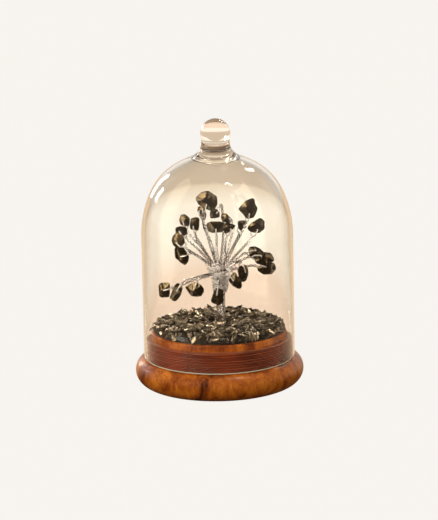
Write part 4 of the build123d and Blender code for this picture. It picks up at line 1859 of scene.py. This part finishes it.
@dataclass
class GlassBell:
    """The blown bell: wall, wide shoulder, crown, flared neck, ball knob and the lens inside."""

    wall: float = 1.8 * MM
    wall_height: float = 66.1 * MM
    rim_rounding: float = 0.5 * MM
    shoulder_radius: float = 58.4 * MM
    shoulder_sweep: float = 23.1
    crown_radius: float = 33.2 * MM
    crown_end_angle: float = 72.7
    neck_radius: float = 7.5 * MM
    knob_radius: float = 8.05 * MM
    neck_length: float = 3.6 * MM
    sweep_angle: float = 60.0
    sweep_pull: float = 9.0 * MM
    lens_radius: float = 8.9 * MM
    lens_drop: float = 5.6 * MM
    groove_radius: float = 9.9 * MM
    ring_radius: float = 11.8 * MM
    ring_drop: float = 0.22 * MM
    ring_width: float = 0.35 * MM
    bubble_radius: float = 0.8 * MM
    bubble_place: Triple = (-4.6 * MM, -2.0 * MM, 130.6 * MM)
    bubble_sides: int = 24
    bubble_step: float = 12.0
    sides: int = 256
    rim_step: float = 15.0
    shoulder_step: float = 1.5
    crown_step: float = 2.0
    knob_step: float = 4.0
    sweep_points: int = 64
    groove_step: float = 30.0
    lens_step: int = 3

    def build(self) -> None:
        """Turns the bell, with a seed bubble in its neck."""
        mesh = turned_mesh("glass_bell", self._section(), self.sides)
        self._add_bubble(mesh)
        smooth(mesh)
        settle(piece_of("glass_bell", mesh, ClearGlass().make()), BELL, "glass", "glass_dome")

    def _section(self) -> list[Point]:
        """The glass's section, from the inside of its rim up the outside and back down.

        Returns:
            Its points.
        """
        low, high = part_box("glass_dome")
        radius, rim = high.x, low.z
        spring = rim + self.wall_height
        shoulder = (radius - self.shoulder_radius, spring)
        crown = polar(shoulder, self.shoulder_radius - self.crown_radius, self.shoulder_sweep)
        crown_end = polar(crown, self.crown_radius, self.crown_end_angle)
        drawn_in = 1 - math.cos(math.radians(self.crown_end_angle))
        flare_radius = (crown_end[0] - self.neck_radius) / drawn_in
        flare = polar(crown_end, flare_radius, self.crown_end_angle)
        knob_height = flare[1] + self.neck_length
        sweep_start = polar(crown, self.crown_radius, self.sweep_angle)
        knob_angle = math.degrees(math.acos(self.neck_radius / self.knob_radius))
        crown_sweep = self.sweep_angle - self.shoulder_sweep
        crown_inside = self.crown_radius - self.wall
        wall_inside = self.shoulder_radius - self.wall
        edge = self.rim_rounding
        section = Outline()
        section.arc((radius - self.wall + edge, rim + edge), edge, 180, 90, self.rim_step)
        section.arc((radius - edge, rim + edge), edge, -90, 90, self.rim_step)
        section.arc(shoulder, self.shoulder_radius, 0, self.shoulder_sweep, self.shoulder_step)
        section.arc(crown, self.crown_radius, self.shoulder_sweep, crown_sweep, self.crown_step)
        sweep = [sweep_start, *self._sweep(sweep_start, (self.neck_radius, flare[1]))]
        section.to(*sweep)
        section.arc((0, knob_height), self.knob_radius, -knob_angle, 90 + knob_angle, self.knob_step)
        section.points[-1] = (0, knob_height + self.knob_radius)
        section.to(*self._hollow(sweep))
        section.arc(crown, crown_inside, self.sweep_angle, -crown_sweep, self.crown_step)
        section.arc(shoulder, wall_inside, self.shoulder_sweep, -self.shoulder_sweep, self.shoulder_step)
        return section.points

    def _sweep(self, start: Point, end: Point) -> list[Point]:
        """The curve in which the crown runs up into the upright neck.

        Args:
            start: Where it leaves the crown.
            end: Where it meets the neck.

        Returns:
            Its points.
        """
        turn = math.radians(self.sweep_angle)
        ahead = (start[0] - self.sweep_pull * math.sin(turn), start[1] + self.sweep_pull * math.cos(turn))
        below = (end[0], end[1] - self.sweep_pull)
        return bezier((start, ahead, below, end), self.sweep_points)

    def _hollow(self, sweep: list[Point]) -> list[Point]:
        """The inside under the flare, from the middle out: a hanging lens, a groove, the flare's inside.

        Args:
            sweep: The flare's outside, from the crown up to the neck.

        Returns:
            Its points.
        """
        inside = []
        for before, point, after in zip(sweep, sweep[1:], sweep[2:]):
            run = Vector((after[0] - before[0], after[1] - before[1])).normalized()
            reach = point[0] - run.y * self.wall
            ring = math.exp(-(((reach - self.ring_radius) / self.ring_width) ** 2))
            inside.append((reach, point[1] + run.x * self.wall - self.ring_drop * ring))
        kept = [point for point in inside if point[0] > self.groove_radius]
        top = kept[-1]
        half = (top[0] - self.lens_radius) / 2
        groove = Outline().arc((top[0] - half, top[1]), half, 0, 180, self.groove_step).points
        turns = [math.radians(90 - angle) for angle in range(0, 90 + self.lens_step, self.lens_step)]
        lens = [
            (self.lens_radius * math.cos(turn), top[1] - self.lens_drop * math.sin(turn)) for turn in turns
        ]
        lens[0] = (0, top[1] - self.lens_drop)
        return lens + groove[::-1] + kept[::-1]

    def _add_bubble(self, mesh: bpy.types.Mesh) -> None:
        """Adds a small hollow to the neck, its faces turned inwards as a hollow's are.

        Args:
            mesh: The bell.
        """
        shell = bmesh.new()
        shell.from_mesh(mesh)
        ball = Outline().arc((0, 0), self.bubble_radius, -90, 180, self.bubble_step).points
        ball[0], ball[-1] = (0, -self.bubble_radius), (0, self.bubble_radius)
        bubble = turned_mesh("seed_bubble", ball, self.bubble_sides)
        bubble.flip_normals()
        bubble.transform(Matrix.Translation(self.bubble_place))
        shell.from_mesh(bubble)
        shell.to_mesh(mesh)
        shell.free()


@dataclass(frozen=True)
class SoftLamp:
    """One soft lamp that looks at the tree."""

    name: str
    place: Triple
    spans: Point
    power: float
    colour: Triple
    mirrored: bool = True
    aim: Triple = (0.0, 0.0, 0.07)

    def hang(self) -> None:
        """Puts the lamp in the scene."""
        light = bpy.data.lights.new(self.name, "AREA")
        light.shape = "RECTANGLE"
        light.size, light.size_y = self.spans
        light.energy = self.power
        light.color = self.colour
        lamp = bpy.data.objects.new(self.name, light)
        lamp.location = self.place
        lamp.visible_glossy = self.mirrored
        lamp.visible_transmission = self.mirrored
        away = Vector(self.aim) - Vector(self.place)
        lamp.rotation_euler = away.to_track_quat("-Z", "Y").to_euler()
        bpy.context.scene.collection.objects.link(lamp)


class Sight(NamedTuple):
    """What kind of ray meets the surroundings, each from 0 to 1."""

    seen: Signal
    mirrored: Signal
    through: Signal
    glassy: Signal
    inside: Signal


def sight(book: NodeBook) -> Sight:
    """Tells rays of the camera, of mirrors and of glass from the light on things.

    Args:
        book: The tree that asks.

    Returns:
        Whether the ray makes a picture, has been mirrored, came through glass alone, was mirrored
        within a piece of glass, or was mirrored by something that stands behind glass.
    """
    path = book.add("ShaderNodeLightPath", output="Is Camera Ray")
    outputs = path.socket.node.outputs
    glossy, clear, bounces, walls = (
        Signal(book, outputs[name])
        for name in ("Is Glossy Ray", "Is Transmission Ray", "Glossy Depth", "Transmission Depth")
    )
    mirrored = bounces.to("MINIMUM", 1.0)
    return Sight(
        (path + glossy + clear).to("MINIMUM", 1.0),
        mirrored,
        clear * (1 - mirrored),
        mirrored * walls.to("GREATER_THAN", 0.5),
        mirrored * walls.to("GREATER_THAN", 3.5),
    )


class Patch(NamedTuple):
    """A round patch of light: where its middle lies, the cosine of its half angle, its light."""

    towards: Triple
    edge: float
    light: Colour


@dataclass
class Studio:
    """The pale floor and surroundings, the lamps and the camera at the photograph's angle."""

    pale: Colour = srgb(249, 245, 240)
    shade: Colour = srgb(66, 57, 46)
    brown: Colour = srgb(140, 116, 92)
    tan: Colour = srgb(240, 212, 178)
    dusk: Colour = srgb(34, 29, 23)
    under_glow: Colour = (0.52, 0.37, 0.25, 1.0)
    near_glow: Colour = (1.10, 0.90, 0.75, 1.0)
    far_glow: Colour = (1.20, 1.15, 1.05, 1.0)
    edge_glow: Colour = (0.96, 0.84, 0.68, 1.0)
    high_glow: Colour = (0.75, 0.64, 0.52, 1.0)
    haze: Colour = srgb(214, 190, 162)
    warp: float = 24.0
    warp_scale: float = 0.012
    brown_reaches: Point = (440, 600)
    overhead: Colour = srgb(186, 170, 150)
    main_box: Patch = Patch((-0.62, -0.42, 0.66), 0.86, (8.0, 7.6, 7.0, 1.0))
    side_box: Patch = Patch((0.80, 0.1, 0.59), 0.90, (2.2, 2.1, 1.95, 1.0))
    left_field: Patch = Patch((-0.86, -0.5, 0.0), 0.86, (3.0, 2.9, 2.7, 1.0))
    right_field: Patch = Patch((0.95, 0.1, 0.0), 0.93, (1.9, 1.8, 1.65, 1.0))
    patch_fade: float = 0.04
    floor_colour: Colour = srgb(120, 110, 98)
    floor_span: float = 14.0
    floor_glow: float = 0.985
    sky_light: float = 0.62
    sky_colour: Colour = (1.0, 0.985, 0.965, 1.0)
    distance: float = 2.0
    elevation: float = 14.5
    aim: Triple = (0.7 * MM, 0.0, 67.4 * MM)
    roll: float = -1.1
    lens: float = 258.5
    sensor: float = 36.0
    clips: Point = (0.05, 60.0)

    def build(self) -> None:
        """Sets the whole stage."""
        bpy.context.scene.view_settings.view_transform = "Standard"
        self._lay_floor()
        self._surround()
        for lamp in (
            SoftLamp("front_lamp", (-0.8, -0.9, 0.9), (0.7, 0.7), 9.5, (1.0, 0.97, 0.93), False),
            SoftLamp(
                "overhead_lamp", (0.28, -0.1, 1.1), (0.17, 0.022), 1.3, (1.0, 0.98, 0.95), aim=(0.28, 0, 0.07)
            ),
            SoftLamp("left_window", (-0.62, 1.1, 0.30), (0.09, 0.46), 1.3, (1.0, 0.97, 0.92)),
            SoftLamp("left_pane", (-1.0, 0.8, 0.42), (0.11, 0.34), 1.2, (1.0, 0.97, 0.92)),
            SoftLamp("right_window", (0.30, 0.88, 0.78), (0.08, 0.18), 0.6, (1.0, 0.95, 0.87)),
            SoftLamp("right_pane", (0.46, 0.80, 0.78), (0.08, 0.18), 0.6, (1.0, 0.96, 0.9)),
        ):
            lamp.hang()
        self._set_camera()
        log.info("studio: floor, lamps and camera set")

    def _lay_floor(self) -> None:
        """Lays a floor that stays pale to the eye, and shows glass and metal a warm room."""
        half = self.floor_span / 2
        corners = [(-half, -half, 0), (half, -half, 0), (half, half, 0), (-half, half, 0)]
        mesh = bpy.data.meshes.new("floor")
        mesh.from_pydata(corners, [], [(0, 1, 2, 3)])
        paint = Finish("pale_floor")
        kind = sight(paint)
        reach = paint.add("ShaderNodeVectorMath", {"operation": "LENGTH"}, {0: paint.place()}, output=1)
        warped = reach + (paint.clouds(paint.place(), self.warp_scale) - 0.5) * self.warp
        stops = [
            (0.12, self.under_glow),
            (0.175, self.near_glow),
            (0.275, self.near_glow),
            (0.315, self.far_glow),
            (0.42, self.far_glow),
            (0.51, self.edge_glow),
            (0.528, self.high_glow),
        ]
        glow = paint.add("ShaderNodeValToRGB", {"stops": stops}, {0: warped.spread(0, 1000)})
        bearing = paint.add("ShaderNodeVectorMath", {"operation": "NORMALIZE"}, {0: paint.place()})
        behind = paint.parts(bearing)[1].spread(0.0, 0.7)
        room = paint.blend(reach.spread(*self.brown_reaches), self.brown, self.tan)
        near = paint.blend(kind.glassy, self.shade, room)
        reflected = paint.blend(behind, near, self.tan)
        boxes = self._box(paint, bearing, self.left_field, self.dusk)
        boxes = self._box(paint, bearing, self.right_field, boxes)
        reflected = paint.blend(kind.inside, reflected, boxes)
        shown = paint.blend(kind.through, paint.blend(kind.mirrored, self.pale, reflected), glow)
        matte = paint.add("ShaderNodeBsdfDiffuse", inputs={"Color": self.floor_colour})
        lit = paint.add("ShaderNodeEmission", inputs={"Color": shown, "Strength": 1.0})
        share = kind.seen * self.floor_glow
        shader = paint.add("ShaderNodeMixShader", inputs={0: share, 1: matte, 2: lit})
        floor = piece_of("floor", mesh, paint.surface(shader))

    def _surround(self) -> None:
        """Surrounds the stage with a pale backdrop that darkens overhead."""
        world = bpy.data.worlds.new("surroundings")
        world.use_nodes = True
        bpy.context.scene.world = world
        book = NodeBook(world.node_tree)
        kind = sight(book)
        direction = book.add("ShaderNodeTexCoord", output="Generated")
        depth = book.add("ShaderNodeSeparateXYZ", inputs={0: direction}, output=1)
        height = book.add("ShaderNodeSeparateXYZ", inputs={0: direction}, output=2)
        front = book.blend(kind.glassy, self.shade, self.haze)
        room = book.blend(depth.spread(-0.5, 0.5), front, self.pale)
        low = book.blend(kind.through, book.blend(kind.mirrored, self.pale, room), self.far_glow)
        view = book.blend(height.spread(0.2, 0.7), low, self.overhead)
        boxes = self._box(book, direction, self.main_box, self.dusk)
        boxes = self._box(book, direction, self.side_box, boxes)
        view = book.blend(kind.inside, view, boxes)
        shown = book.add("ShaderNodeBackground", inputs={"Color": view, "Strength": 1.0})
        soft = {"Color": self.sky_colour, "Strength": self.sky_light}
        light = book.add("ShaderNodeBackground", inputs=soft)
        both = book.add("ShaderNodeMixShader", inputs={0: kind.seen, 1: light, 2: shown})
        book.add("ShaderNodeOutputWorld", inputs={"Surface": both})

    def _box(self, book: NodeBook, direction: Signal, patch: Patch, around: object) -> Signal:
        """Adds a round patch of light to what the surroundings show.

        Args:
            book: The tree that it is added to.
            direction: Where the ray goes.
            patch: The patch.
            around: What shows beside it.

        Returns:
            The colour with the patch.
        """
        lined = {0: direction, 1: Vector(patch.towards).normalized()}
        near = book.add("ShaderNodeVectorMath", {"operation": "DOT_PRODUCT"}, lined, output=1)
        return book.blend(near.spread(patch.edge, patch.edge + self.patch_fade), around, patch.light)

    def _set_camera(self) -> None:
        """Puts the camera where the photograph was taken from."""
        data = bpy.data.cameras.new("camera")
        data.lens = self.lens
        data.sensor_width = self.sensor
        data.clip_start, data.clip_end = self.clips
        camera = bpy.data.objects.new("camera", data)
        rise = math.radians(self.elevation)
        back = Vector((0, -math.cos(rise), math.sin(rise)))
        camera.location = Vector(self.aim) + back * self.distance
        facing = (-back).to_track_quat("-Z", "Y").to_matrix().to_4x4()
        turned = facing @ Matrix.Rotation(math.radians(self.roll), 4, "Z")
        camera.rotation_euler = turned.to_euler()
        bpy.context.scene.collection.objects.link(camera)
        bpy.context.scene.camera = camera


def write_sizes() -> None:
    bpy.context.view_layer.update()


def main() -> None:
    """Builds the stage and every sub-assembly in order."""
    logging.basicConfig(level=logging.INFO, format="%(name)s: %(message)s")
    Studio().build()
    tree = WireTree()
    for part in (WoodenBase(), FitBand(), ChipBed(), tree, Nuggets(tree.twigs), GlassBell()):
        part.build()
    write_sizes()


if __name__ == "__main__":
    main()
